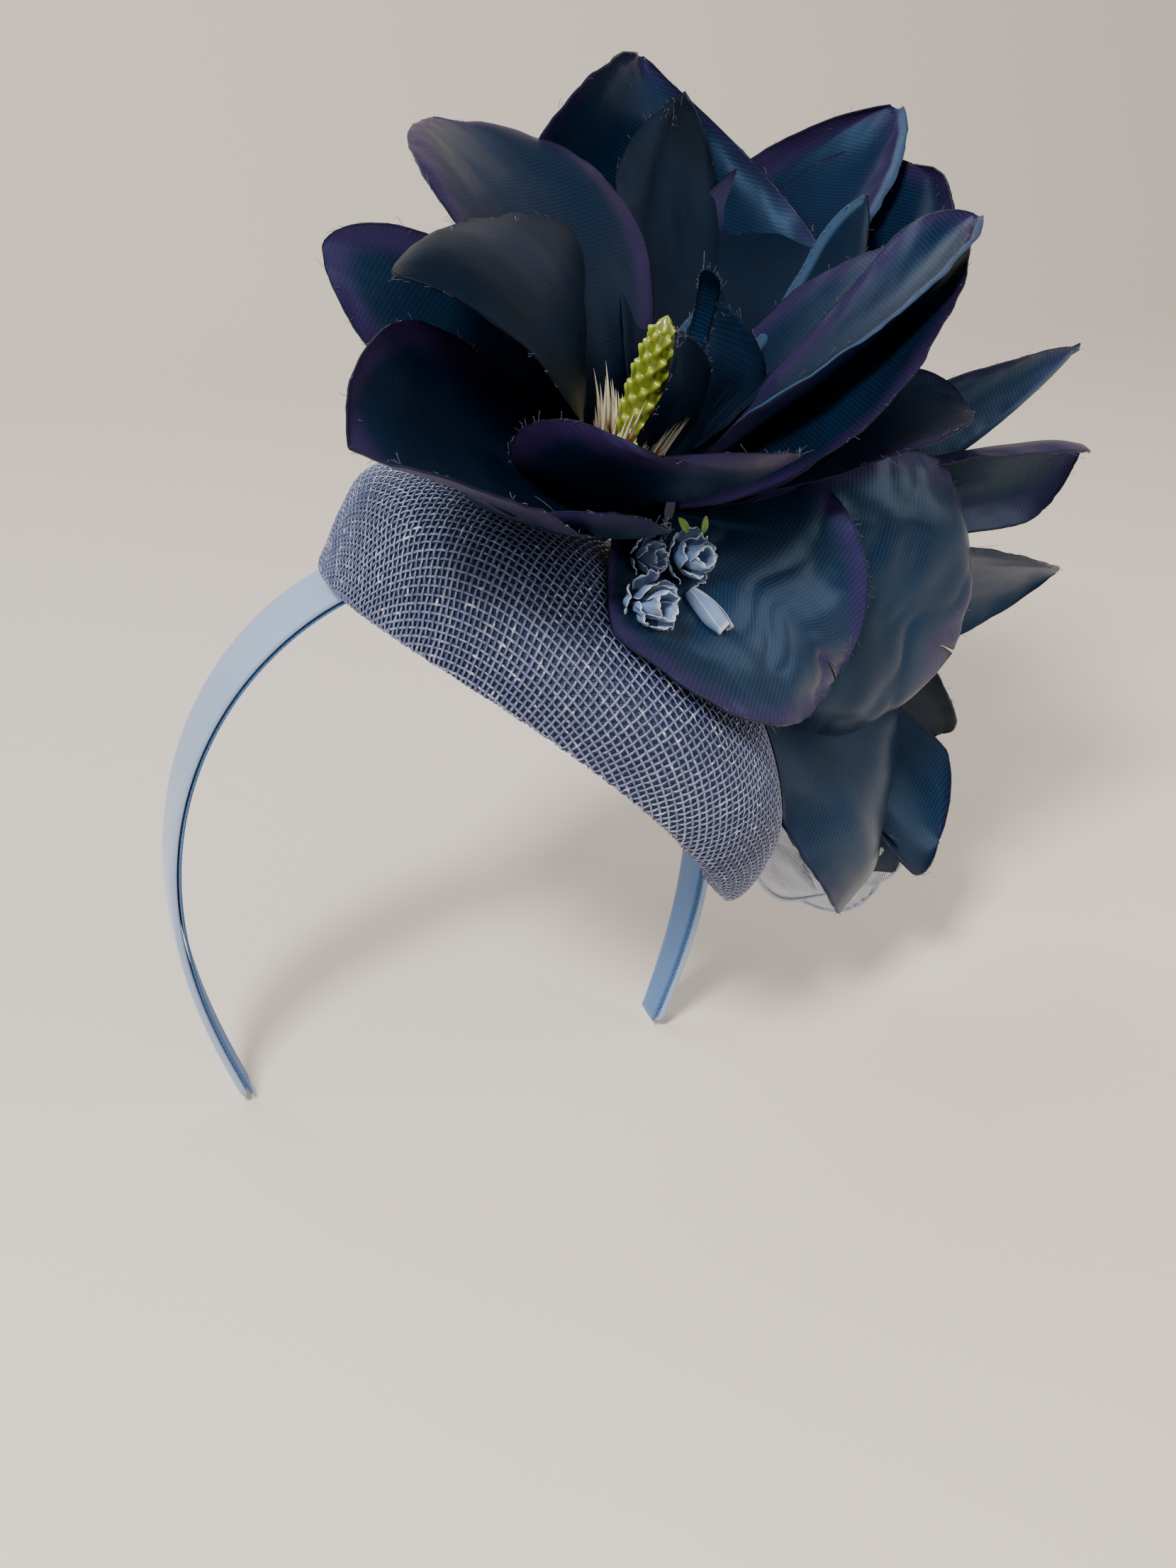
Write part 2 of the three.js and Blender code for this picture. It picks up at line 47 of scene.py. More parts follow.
# Sizes in millimetres
CROWN_CENTRE = np.array([21.6, -8.0, -51.0])
CROWN_TILT = 44.5 * DEG
CROWN_ARCH = 14.0
CROWN_COLUMNS = ("height", "right", "left", "half")
CROWN_SECTIONS = [
    (2.0, 71, 76, 57),
    (-0.5, 75, 80, 61),
    (5, 77, 82, 63),
    (14, 80, 80, 65),
    (26, 82, 75, 63),
    (38, 75, 62, 53),
    (48, 57, 44, 38),
    (54, 30, 23, 20),
    (55.5, 0, 0, 0),
]
# The inset of the skin that the strands lie on, a little outside the table's crown
CROWN_SKIN = -0.1
UNDER_LAYER_THICK = 1.1
STRAND_PITCH = 2.1
STRAND_WIDTH = 0.74
STRAND_THICK = 0.3
STRAND_REACH = 132
STRAND_RISE = 0.3
STRAND_WEAVE = 0.2
GRAIN = -22 * DEG
# Points nearer than this are made one where a grid closes on itself
SEAM = 0.02

BAND = {"length": 203, "sweep": 110 * DEG, "ease": 1.6, "wide": 12.6, "narrow": 6}
COVER_THICK = 2.4
LINING_THICK = 0.9
LINING_INSET = 1.2
PICOT_PITCH = 1.6
PICOT_REACH = 0.75
PICOT_WIDTH = 0.42
PICOT_THICK = 0.36
GAP = 0.4
SILK_THICK = 0.55
PAPER_THICK = 0.22
SPRIG_THICK = 0.3
ORGANZA_THICK = 0.35
ORGANZA_EDGE_WIDTH = 1.5
ORGANZA_EDGE_THICK = 0.9
FRAY_WIDTH = 0.16
FRAY_THICK = 0.14
# How far cloth and paper stay off what they lie on, and how deep a point is still moved out
CROWN_CLEAR = 1.1
ROSE_CLEAR = 0.9
CROWN_DEEPEST = 9.0
LEAF_DEEPEST = 16.0
TIP_CLEAR = 1.0
TIP_DEEPEST = 14.0
FLOOR = -161.5

# Counts, and the turn in radians from one stamen to the next
FRAY_COUNT = 46
STAMEN_COUNT = 78
GOLDEN_TURN = 2.39996

# Each flower's place on the crown, and where its axis points, in degrees
FLOWERS = {
    "upper": {"along": -26, "across": -10, "up": 72, "turn": -68, "rise": 67.5},
    "lower": {"along": -2, "across": -20, "up": 67, "turn": -67, "rise": 14},
    "loops": {"along": 68, "across": 6, "up": 32, "turn": -67, "rise": 14},
}

PETAL_COLUMNS = (
    "name", "flower", "spin", "lean", "length", "width", "peak", "blunt", "cup", "curl",
    "roll", "twist", "sway", "start", "rise", "notch", "tone", "violet",
)
# One row per petal: lengths in mm, angles in degrees; tone is how light, partly the silk's own and partly
# painted shade on petals that sit in shade; violet how much
PETALS = [
    ("petal_front", "upper", 252, (75, 39, 37), 47, 78, 0.5, 0.45, 28, -0.06,
     23, -22, -7, 7, 4, 0, 0.25, 1.0),
    ("petal_front_lower", "upper", 216, (86, 72, 47), 61, 61, 0.65, 0.48, 25, -0.11,
     9, 10, -1, 8, 0, 0, 0.2, 0.6),
    ("petal_apron", "upper", 226, (97, 142, 125), 16, 32, 0.67, 0.45, 16, -0.08,
     34, -1, 2, 0.5, 2.4, 0, 0.3, 0.2),
    ("petal_left_cup", "upper", 195, (90, 57, 79), 109, 75, 0.65, 0.69, 45, 0.01,
     -15, 13, 19, 8, 0, 0, 0.2, 0.9),
    ("petal_left_inner", "upper", 133, (11, 25, 107), 74, 96, 0.87, 0.49, -3, 0.13,
     37, -28, 18, 22.8, 4.3, 0, 0.12, 0.2),
    ("petal_left_outer", "upper", 161, (70, 55, 84), 99, 39, 0.57, 0.6, 26, 0,
     -35, -28, -11, 8, -3, 0, 0.45, 1.0),
    ("petal_bud_front", "upper", 29, (71, 57, -16), 48, 43, 0.48, 0.71, 39, 0.28,
     33, 29, 23, 5, 8, 0, 0.2, 0.1),
    ("petal_bud_side", "upper", 298, (14, 6, -21), 45, 31, 0.43, 0.71, 30, 0.32,
     -1, 23, -12, 0, 9.6, 0, 0.3, 0.1),
    ("petal_bud_tip", "upper", 57, (24, 19, -48), 56, 6, 0.9, 0.58, 22, -0.06,
     0, -2, 3, 5.1, 9, 0, 0.9, 0),
    ("petal_upper_left", "upper", 120, (27, 57, 105), 118, 78, 0.59, 0.77, 21, 0.16,
     13, -5, -7, 11.3, -2.6, 0, 0.35, 1),
    ("petal_top_inner", "upper", 69, (37, 78, 17), 117, 58, 0.58, 0.69, 27, 0.25,
     11, 38, 9, 19.3, 5.7, 0, 0.18, 0.2),
    ("petal_top", "upper", 63, (96, 50, 48), 135, 106, 0.59, 0.88, 32, -0.19,
     -26, 69, 38, 20.9, -10, 0, 0.5, 0.6),
    ("petal_right_slim", "upper", 33, (65, 69, 50), 109, 16, 0.78, 0.76, 25, -0.05,
     0, 0, 19, 9, 7.1, 0, 0.3, 0.1),
    ("petal_right", "upper", 7, (45, 51, 31), 112, 46, 0.81, 0.74, 53, 0.12,
     -50, 30, 15, 4.1, -1.7, 0, 0.6, 0.8),
    ("petal_upper_right", "upper", 65, (42, 77, 21), 159, 49, 0.68, 0.63, 18, -0.35,
     12, -35, -45, 7.7, -8.1, 0, 0.3, 0.9),
    ("petal_right_lower", "upper", 12, (66, 45, 54), 107, 67, 0.59, 0.69, 23, 0.06,
     0, -25, 10, 7.2, -2.5, 0, 0.4, 0.7),
    ("petal_right_back", "upper", 38, (54, 73, 45), 143, 70, 0.62, 0.38, 21, -0.19,
     -14, -7, 11, 12.1, -5.3, 0, 0.5, 0.8),
    ("petal_right_under", "upper", 2, (65, 63, 93), 90, 36, 0.6, 0.5, 31, 0,
     3, 3, 1, 8, -4, 0, 0.3, 0.6),
    ("leaf_heart_front", "lower", 314, (54, 64, 121), 83, 92, 0.23, 0.71, 8, -0.11,
     -31, 34, 1, -26.2, -10.8, 0.12, 0.5, 0.8),
    ("leaf_heart_back", "lower", 343, (59, 79, 105), 105, 96, 0.72, 0.42, -11, 0.35,
     13, 12, -6, -2, -11, 0.08, 0.6, 1.0),
    ("leaf_right_top", "lower", 20, (85, 76, 73), 149, 27, 0.46, 0.9, 34, 0,
     3, 4, 1, 5, -13, 0, 0.6, 0.5),
    ("leaf_right_middle", "lower", 16, (92, 79, 76), 152, 46, 0.83, 0.8, 51, -0.21,
     26, 28, -23, 5, -15, 0, 0.4, 1.0),
    ("leaf_right_low", "lower", 349, (91, 81, 86), 152, 51, 0.6, 0.8, 39, -0.07,
     19, 40, 12, 5, -18.5, 0, 0.6, 0.2),
    ("leaf_down_front", "lower", 322, (170, 76, 152), 121, 98, 0.77, 0.49, -6, 0.16,
     -43, 34, -7, 20.1, 0.1, 0, 0.5, 0.5),
    ("leaf_down_right", "lower", 325, (96, 85, 70), 128, 47, 0.88, 0.75, 38, -0.12,
     -32, 26, -20, 19.6, -27.6, 0, 0.4, 0.4),
    ("leaf_down_back", "lower", 336, (109, 92, 86), 133, 57, 0.62, 0.61, 36, -0.18,
     14, 52, -10, 17, -23.8, 0, 0.15, 0.2),
    ("leaf_down_small", "loops", 303, (84, 84, 164), 56, 25, 0.74, 0.49, 26, -0.24,
     -12, 40, 23, 7.4, 5, 0, 0.1, 0.2),
    ("organza_loop_front", "loops", 322, (62, 105, 81), 69, 40, 0.66, 0.38, -15, 0.03,
     23, 28, -13, 3.9, 4.3, 0, 0, 0),
    ("organza_loop_back", "loops", 308, (85, 81, 123), 66, 43, 0.65, 0.45, 1, -0.09,
     22, 24, 7, 2, -3, 0, 0, 0),
]

ROSES = [
    {"name": "rose_left", "at": (-32, -4.4, 15.5), "radius": 7.4, "seed": 1},
    {"name": "rose_right", "at": (-11.3, 5.6, 9), "radius": 6.8, "seed": 2},
    {"name": "rose_behind", "at": (-23, 6.5, 5.5), "radius": 5.2, "seed": 3},
]
BUD_FROM = (-15, -2.6, 9.6)
BUD_TO = (-9.2, -14.3, 17)
BUD_RADIUS = 2.6
PISTIL_BASE = (-7.8, 1.5, 6)
PISTIL_TIP = (-6.7, 5.8, 50.4)
PISTIL_RADIUS = 5.4


# Vectors and frames
def unit(v):
    """v at length one, for one vector or a row of them."""
    v = np.asarray(v, float)
    return v / np.maximum(np.linalg.norm(v, axis=-1, keepdims=True), 1e-12)


CROWN_UP = np.array([math.sin(CROWN_TILT), 0, math.cos(CROWN_TILT)])
CROWN_ALONG = np.array([math.cos(CROWN_TILT), 0, -math.sin(CROWN_TILT)])
CROWN_ACROSS = np.array([0.0, 1.0, 0.0])


def crown_place(along, across, up):
    """Points in the row frame from distances in the crown's own directions."""
    along, across, up = (np.asarray(x, float)[..., None] for x in (along, across, up))
    return CROWN_CENTRE + along * CROWN_ALONG + across * CROWN_ACROSS + up * CROWN_UP


class Seat:
    """The place and directions of a flower, its axis pointing out of the bloom."""

    def __init__(self, along, across, up, turn, rise):
        turn, rise = turn * DEG, rise * DEG
        self.axis = np.array([
            math.cos(rise) * math.cos(turn), math.cos(rise) * math.sin(turn), math.sin(rise),
        ])
        self.side = unit(np.array([1.0, 0, 0]) - self.axis * self.axis[0])
        self.top = np.cross(self.axis, self.side)
        self.origin = crown_place(along, across, up)

    def place(self, x, y, z):
        x, y, z = (np.asarray(k, float)[..., None] for k in (x, y, z))
        return self.origin + x * self.side + y * self.top + z * self.axis


SEATS = {name: Seat(**row) for name, row in FLOWERS.items()}


def column(name, t):
    """A smooth value of one column of the crown's table, t running 0 to 1 over its rows."""
    values = np.array(CROWN_SECTIONS, float)[:, CROWN_COLUMNS.index(name)]
    last = len(values) - 1
    x = np.clip(t, 0, 1) * last
    i = np.minimum(np.floor(x), last - 1).astype(int)
    f = x - i
    here, after = values[i], values[i + 1]
    m0 = (after - values[np.clip(i - 1, 0, last)]) / 2
    m1 = (values[np.clip(i + 2, 0, last)] - here) / 2
    f2, f3 = f * f, f * f * f
    return here * (2 * f3 - 3 * f2 + 1) + m0 * (f3 - 2 * f2 + f) + after * (3 * f2 - 2 * f3) + m1 * (f3 - f2)


def crown_point(t, turn, inset=0.0):
    """A point of the crown: t runs from the turned-in rim to the top, turn goes round."""
    t, turn = np.broadcast_arrays(np.asarray(t, float), np.asarray(turn, float))
    across = np.cos(turn)
    reach = np.where(across > 0, column("left", t), column("right", t)) - inset
    half = column("half", t) - inset
    lift = CROWN_ARCH * np.sin(turn) ** 2 * (1 - t)
    height = column("height", t) + lift - inset * np.clip(t * 2 - 0.6, 0, 1)
    return crown_place(np.maximum(reach, 0) * across, np.maximum(half, 0) * np.sin(turn), height)


def smooth(x):
    """0 below 0, 1 above 1 and an even turn between."""
    x = np.clip(x, 0, 1)
    return x * x * (3 - 2 * x)


def ripple(x, y, seed, octaves=3):
    """Soft bumps of a flat pattern, about -1 to 1, the same on each run."""
    local = np.random.default_rng(seed)
    total = np.zeros(np.broadcast(x, y).shape)
    size = 1.0
    for k in range(octaves):
        for _ in range(3):
            a = local.uniform(0, 2 * math.pi)
            b = local.uniform(0, 2 * math.pi)
            total += size * np.sin((x * math.cos(a) + y * math.sin(a)) * 1.9**k + b) / 3
        size *= 0.55
    return total


# Modelling
def alone():
    """Nothing stays selected, so that an operator acts only on what comes next."""
    for o in bpy.context.selected_objects:
        o.select_set(False)


def grid(name, across, along):
    """A flat grid primitive, x and y running -1 to 1, ready to be bent."""
    alone()
    bpy.ops.mesh.primitive_grid_add(x_subdivisions=across, y_subdivisions=along, size=2)
    piece = bpy.context.object
    piece.name = name
    piece.data.name = name
    return piece


def read(piece):
    """The vertices of a piece, one row each."""
    points = np.empty(len(piece.data.vertices) * 3)
    piece.data.vertices.foreach_get("co", points)
    return points.reshape(-1, 3)


def write(piece, points):
    """Moves the vertices of a piece to points in mm."""
    piece.data.vertices.foreach_set("co", (np.asarray(points) * MM).ravel())
    piece.data.update()


def stamp(piece, name, values):
    """Keeps one number per vertex for the finish to read."""
    layer = piece.data.attributes.new(name, "FLOAT", "POINT")
    layer.data.foreach_set("value", np.broadcast_to(values, len(piece.data.vertices)).astype(np.float32))


def lay_cloth(piece, u, v):
    """Gives the cloth its own flat map, in centimetres, so that the weave follows it."""
    corners = np.empty(len(piece.data.loops), int)
    piece.data.loops.foreach_get("vertex_index", corners)
    flat = np.stack([u, v], 1)[corners]
    piece.data.uv_layers[0].name = "cloth"
    piece.data.uv_layers[0].data.foreach_set("uv", flat.ravel())


def modify(piece, kind, **settings):
    """Adds one modifier and applies it."""
    alone()
    piece.select_set(True)
    bpy.context.view_layer.objects.active = piece
    modifier = piece.modifiers.new(kind.title(), kind)
    for key, value in settings.items():
        setattr(modifier, key, value)
    bpy.ops.object.modifier_apply(modifier=modifier.name)


def thicken(piece, thick, levels=1):
    """Turns a bent grid into cloth of even thickness, with soft edges unless levels is 0."""
    modify(piece, "SOLIDIFY", thickness=thick * MM, offset=0, use_even_offset=False)
    if levels:
        modify(piece, "SUBSURF", levels=levels, render_levels=levels)


def smooth_shade(piece):
    alone()
    piece.select_set(True)
    bpy.context.view_layer.objects.active = piece
    bpy.ops.object.shade_smooth_by_angle(angle=180 * DEG)


def seat(piece, finish, slot, *nodes):
    """Dresses a finished piece, and lets it ride and stand for its CAD nodes."""
    piece.data.materials.clear()
    piece.data.materials.append(finish)
    smooth_shade(piece)
    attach(piece, "root")
    if nodes:
        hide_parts(*nodes)
    return piece


def join(name, pieces):
    """Makes one piece of several."""
    alone()
    for piece in pieces:
        piece.select_set(True)
    bpy.context.view_layer.objects.active = pieces[0]
    bpy.ops.object.join()
    pieces[0].name = name
    pieces[0].data.name = name
    return pieces[0]


def threads(name, paths, width, thick, normals=None):
    """Many fine strands as one piece. Each path is a row of points in mm; the section is
    a flat lozenge, wide along the surface and thin along its normal."""
    points, faces, tones = [], [], []
    for k, path in enumerate(paths):
        count = len(path)
        run = unit(np.gradient(path, axis=0))
        if normals is None:
            out = unit(np.cross(run, [0.3, 0.8, 0.5]))
        else:
            out = normals[k]
        side = unit(np.cross(run, out))
        w = (width[k] if isinstance(width, list) else width) / 2
        h = (thick[k] if isinstance(thick, list) else thick) / 2
        w = np.broadcast_to(w, count)[:, None]
        h = np.broadcast_to(h, count)[:, None]
        ring = np.stack([path + side * w, path + out * h, path - side * w, path - out * h], 1)
        first = sum(len(p) for p in points)
        points.append(ring.reshape(-1, 3))
        base = first + 4 * np.arange(count - 1)[:, None]
        step = np.arange(4)[None, :]
        after = (step + 1) % 4
        quads = np.stack([base + step, base + after, base + 4 + after, base + 4 + step], -1).reshape(-1, 4)
        last = first + 4 * (count - 1)
        faces.append(quads)
        start_cap = [first + 3, first + 2, first + 1, first]
        faces.append(np.array([start_cap, [last, last + 1, last + 2, last + 3]]))
        tones.append(np.full(count * 4, rng.uniform()))
    mesh = bpy.data.meshes.new(name)
    mesh.from_pydata((np.concatenate(points) * MM).tolist(), [], np.concatenate(faces).tolist())
    mesh.uv_layers.new(name="cloth")
    piece = bpy.data.objects.new(name, mesh)
    bpy.context.scene.collection.objects.link(piece)
    stamp(piece, "tone", np.concatenate(tones))
    return piece


# Finishes
class Shade:
    """One value of a finish, so that shader maths reads like arithmetic."""

    def __init__(self, finish, socket):
        self.finish = finish
        self.socket = socket

    def maths(self, operation, *others):
        values = [self, *others]
        return self.finish.node("ShaderNodeMath", {"operation": operation}, dict(enumerate(values)))

    def __add__(self, other):
        return self.maths("ADD", other)

    def __radd__(self, other):
        return self.maths("ADD", other)

    def __mul__(self, other):
        return self.maths("MULTIPLY", other)

    def __rmul__(self, other):
        return self.maths("MULTIPLY", other)

    def __sub__(self, other):
        return self.maths("SUBTRACT", other)

    def __rsub__(self, other):
        return self.finish.node("ShaderNodeMath", {"operation": "SUBTRACT"}, {0: other, 1: self})

    def clamp(self):
        """Held between 0 and 1."""
        return self.maths("MINIMUM", 1.0).maths("MAXIMUM", 0.0)

    def between(self, low, high):
        """0 at low, 1 at high and an even turn between."""
        inputs = {0: self, 1: low, 2: high, 3: 0.0, 4: 1.0}
        return self.finish.node("ShaderNodeMapRange", {"interpolation_type": "SMOOTHSTEP"}, inputs)


class Finish:
    """A procedural finish, built round one Principled shader."""

    def __init__(self, name, **constants):
        self.material = bpy.data.materials.new(name)
        self.material.use_nodes = True
        self.tree = self.material.node_tree
        self.shader = self.tree.nodes["Principled BSDF"]
        for key, value in constants.items():
            self.shader.inputs[key.replace("_", " ").title().replace("Ior", "IOR")].default_value = value

    def node(self, kind, settings, inputs, output=0):
        made = self.tree.nodes.new(kind)
        for key, value in settings.items():
            setattr(made, key, value)
        for key, value in inputs.items():
            self.feed(made.inputs[key], value)
        return Shade(self, made.outputs[output])

    def feed(self, socket, value):
        if isinstance(value, Shade):
            self.tree.links.new(value.socket, socket)
        elif socket.type == "RGBA" and len(value) == 3:
            socket.default_value = (*value, 1)
        else:
            socket.default_value = value

    def place(self):
        """The point on the piece itself."""
        return self.node("ShaderNodeTexCoord", {}, {}, "Object")

    def cloth(self, across=1.0, along=1.0):
        """The point on the flat cloth, in centimetres."""
        flat = self.node("ShaderNodeUVMap", {"uv_map": "cloth"}, {})
        return self.node("ShaderNodeMapping", {}, {0: flat, 3: (across, along, 1)})

    def kept(self, name):
        return self.node("ShaderNodeAttribute", {"attribute_name": name}, {}, "Fac")

    def noise(self, at, scale, detail=2.0, roughness=0.5):
        inputs = {"Vector": at, "Scale": scale, "Detail": detail, "Roughness": roughness}
        return self.node("ShaderNodeTexNoise", {}, inputs, "Fac")

    def stripes(self, at, scale, direction="Y", distortion=0.0):
        settings = {"wave_type": "BANDS", "bands_direction": direction, "wave_profile": "SIN"}
        inputs = {"Vector": at, "Scale": scale, "Distortion": distortion, "Detail": 1.0}
        return self.node("ShaderNodeTexWave", settings, inputs, "Fac")

    def mix(self, amount, low, high):
        return self.node("ShaderNodeMix", {"data_type": "RGBA"}, {0: amount, 6: low, 7: high}, 2)

    def paint(self, colour, roughness=None, bump=None, strength=0.3, distance=0.3 * MM, alpha=None):
        self.feed(self.shader.inputs["Base Color"], colour)
        if roughness is not None:
            self.feed(self.shader.inputs["Roughness"], roughness)
        if alpha is not None:
            self.feed(self.shader.inputs["Alpha"], alpha)
        if bump is not None:
            inputs = {"Strength": strength, "Distance": distance, "Height": bump}
            self.feed(self.shader.inputs["Normal"], self.node("ShaderNodeBump", {}, inputs))
        return self.material


def tint(code):
    """A colour from its web code, in scene values."""
    parts = [int(code[k:k + 2], 16) / 255 for k in (0, 2, 4)]
    return tuple(c / 12.92 if c <= 0.04045 else ((c + 0.055) / 1.055) ** 2.4 for c in parts)


def silk_finish(name, dark, light, violet, thread, gloss):
    """Stiffened silk twill: painted shade makes it deep towards each petal's base and on petals that sit in
    shade; a painted highlight runs along rolled edges; violet where the edge was brushed with dye.
    """
    f = Finish(name, specular_ior_level=gloss)
    f.shader.inputs["Specular Tint"].default_value = (*tint("6f94bd"), 1)
    flat = f.cloth()
    cloud = f.noise(f.place(), 38.0, 3.0)
    fibre = f.noise(f.cloth(1.0, 9.0), 3.0, 4.0, 0.6)
    twill = f.stripes(flat, 2.6, "Y", 0.4)
    cross = f.stripes(flat, 4.6, "DIAGONAL", 0.2)
    # Painted shade: low tone, on shaded petals and towards each base, mixes the silk towards its dark colour
    light_share = (f.kept("tone") * 0.85 + cloud * 0.7 - 0.3 + fibre * 0.16).clamp()
    body = f.mix(light_share, dark, light)
    brushed = (f.kept("violet") + cloud * 0.5 - 0.25).between(0.25, 0.85)
    dyed = f.mix(brushed * 0.8, body, violet)
    woven = f.mix(twill.between(0.35, 1.0) * f.kept("tone") * 0.16, dyed, thread)
    rim = f.kept("rim").between(0.55, 1.0)
    edged = f.mix(rim * 0.75, woven, tint("0d0c16"))
    # Painted highlight: the rolled edges are mixed towards a paler blue, as where the curl catches the light
    rolled_highlit = f.mix(f.kept("rolled_highlit") * (0.65 + fibre * 0.3), edged, tint("2f455e"))
    rough = fibre * 0.2 + 0.46 - f.kept("tone") * 0.38
    return f.paint(rolled_highlit, rough, twill * 0.35 + cross * 0.2 + fibre * 0.5, 0.3, 0.1 * MM)


def straw_finish():
    """Glossy dyed straw strands, each a little different, with painted glints along them."""
    f = Finish("woven_straw", specular_ior_level=0.7, coat_weight=0.25, coat_roughness=0.2)
    tone = f.kept("tone")
    cloud = f.noise(f.place(), 30.0, 2.0)
    streak = f.noise(f.place(), 420.0, 2.0)
    share = (tone * 0.45 + cloud * 0.75 + streak * 0.5 - 0.42).clamp()
    body = f.mix(share, tint("39456f"), tint("8792b7"))
    # Painted glints: thin streaks of the strands are mixed towards near white, as where light catches them
    pale = f.mix(streak.between(0.6, 0.76) * 0.75, body, tint("dde2f2"))
    return f.paint(pale, streak * 0.25 + 0.2, streak, 0.25, 0.1 * MM)


def under_layer_finish():
    """The second layer that shows through the cells: dark, partly its own colour and partly painted shade
    under the strands, with painted glints.
    """
    f = Finish("straw_under_layer", specular_ior_level=0.4)
    flat = f.place()
    first = f.stripes(flat, 480.0, "X", 0.6)
    second = f.stripes(flat, 480.0, "Z", 0.6)
    cloud = f.noise(flat, 30.0, 3.0)
    glint_speck = f.noise(flat, 900.0, 1.0)
    # Painted shade: the layer is kept dark, as shade beneath the strands
    body = f.mix((cloud * 0.8 + 0.1).clamp(), tint("12172c"), tint("333c64"))
    cells = (first * second).between(0.5, 1.0)
    # The weave's crossings are lighter threads; the thin specks are painted glints
    lit = f.mix(cells * 0.5 + glint_speck.between(0.66, 0.76) * 0.6, body, tint("717ca8"))
    return f.paint(lit, 0.45, first + second + glint_speck, 0.5, 0.3 * MM)


def satin_finish():
    """Ribbed satin, with its ribs across the band."""
    f = Finish("band_satin", sheen_weight=0.3, sheen_roughness=0.35, specular_ior_level=0.5)
    rib = f.stripes(f.cloth(), 6.2, "Y", 0.25)
    cloud = f.noise(f.place(), 22.0, 2.0)
    body = f.mix((cloud * 0.7 + rib * 0.35).clamp(), tint("7792bb"), tint("a4bad9"))
    return f.paint(body, rib * 0.15 + 0.4, rib, 0.5, 0.12 * MM)


def ribbon_finish():
    """Matt ribbon that lines the band."""
    f = Finish("lining_ribbon", sheen_weight=0.2, specular_ior_level=0.3)
    weave = f.stripes(f.cloth(), 8.0, "X", 0.3) * f.stripes(f.cloth(), 8.0, "Y", 0.3)
    cloud = f.noise(f.place(), 40.0, 2.0)
    body = f.mix((cloud * 0.6 + weave * 0.4).clamp(), tint("345f96"), tint("5f8cc4"))
    return f.paint(body, 0.62, weave, 0.4, 0.1 * MM)


def organza_finish():
    """Stiff sheer organza with fine creases, denser at its doubled edge."""
    f = Finish("organza", sheen_weight=0.3, specular_ior_level=0.5)
    crease = f.stripes(f.cloth(1.0, 0.25), 5.0, "X", 3.0)
    weave = f.stripes(f.cloth(), 9.0, "X") * f.stripes(f.cloth(), 9.0, "Y")
    body = f.mix(crease.between(0.3, 1.0), tint("aab6cf"), tint("e4e9f3"))
    dense = (f.kept("rim").between(0.6, 1.0) * 0.45 + crease * 0.25 + weave * 0.15 + 0.35).clamp()
    return f.paint(body, crease * 0.2 + 0.3, crease, 0.5, 0.3 * MM, dense)


def organza_edge_finish():
    f = Finish("organza_edge", sheen_weight=0.3)
    twist = f.noise(f.place(), 500.0, 2.0)
    return f.paint(f.mix(twist, tint("8496b8"), tint("c4cede")), twist * 0.2 + 0.4, twist, 0.4, 0.15 * MM)


def paper_finish():
    """Crinkled dyed paper, paler along each petal's edge."""
    f = Finish("rose_paper", specular_ior_level=0.25)
    crinkle = f.noise(f.place(), 260.0, 4.0, 0.65)
    cloud = f.noise(f.place(), 90.0, 2.0)
    body = f.mix((cloud * 0.9 - 0.1 + crinkle * 0.3).clamp(), tint("3f5f8f"), tint("93a9cb"))
    worn = f.mix(f.kept("rim").between(0.55, 1.0) * 0.8, body, tint("cdd3df"))
    return f.paint(worn, 0.8, crinkle, 0.7, 0.4 * MM)


def sprig_finish():
    f = Finish("sprig_green", specular_ior_level=0.4)
    cloud = f.noise(f.place(), 300.0, 2.0)
    return f.paint(f.mix(cloud, tint("3c5a22"), tint("7d9a3f")), 0.5, cloud, 0.4, 0.2 * MM)


def pistil_finish():
    """Glossy green pips, with painted shade in the hollows between them."""
    f = Finish("pistil_green", specular_ior_level=0.6, coat_weight=0.6, coat_roughness=0.15)
    cloud = f.noise(f.place(), 160.0, 2.0)
    # Painted shade: the hollows between the pips, where tone is low, are mixed towards a dark green
    body = f.mix((f.kept("tone") * 0.8 + cloud * 0.3).clamp(), tint("4c5e14"), tint("a9b53f"))
    return f.paint(body, cloud * 0.2 + 0.2, cloud, 0.15, 0.2 * MM)


def stamen_finish():
    """Cream filaments, flushed red low down."""
    f = Finish("stamen_cream", specular_ior_level=0.5, coat_weight=0.2)
    cloud = f.noise(f.place(), 300.0, 1.0)
    body = f.mix((f.kept("along") + cloud * 0.3 - 0.15).between(0.2, 0.5), tint("9c2f24"), tint("f0e6c8"))
    return f.paint(body, 0.4, cloud, 0.2, 0.2 * MM)


def thread_finish():
    f = Finish("frayed_silk", sheen_weight=0.3)
    cloud = f.noise(f.place(), 400.0, 1.0)
    return f.paint(f.mix(cloud, tint("121827"), tint("30405f")), 0.55, cloud, 0.3, 0.05 * MM)


SILK_UPPER = silk_finish("silk_navy", tint("01040b"), tint("08203c"), tint("27183e"), tint("354c69"), 0.32)
SILK_LOWER = silk_finish("silk_teal", tint("01060f"), tint("0a2743"), tint("2a1b45"), tint("48617f"), 0.6)
STRAW = straw_finish()
UNDER_LAYER = under_layer_finish()
SATIN = satin_finish()
RIBBON = ribbon_finish()
ORGANZA = organza_finish()
ORGANZA_EDGE = organza_edge_finish()
PAPER = paper_finish()
SPRIG = sprig_finish()
PISTIL = pistil_finish()
STAMEN = stamen_finish()
THREAD = thread_finish()


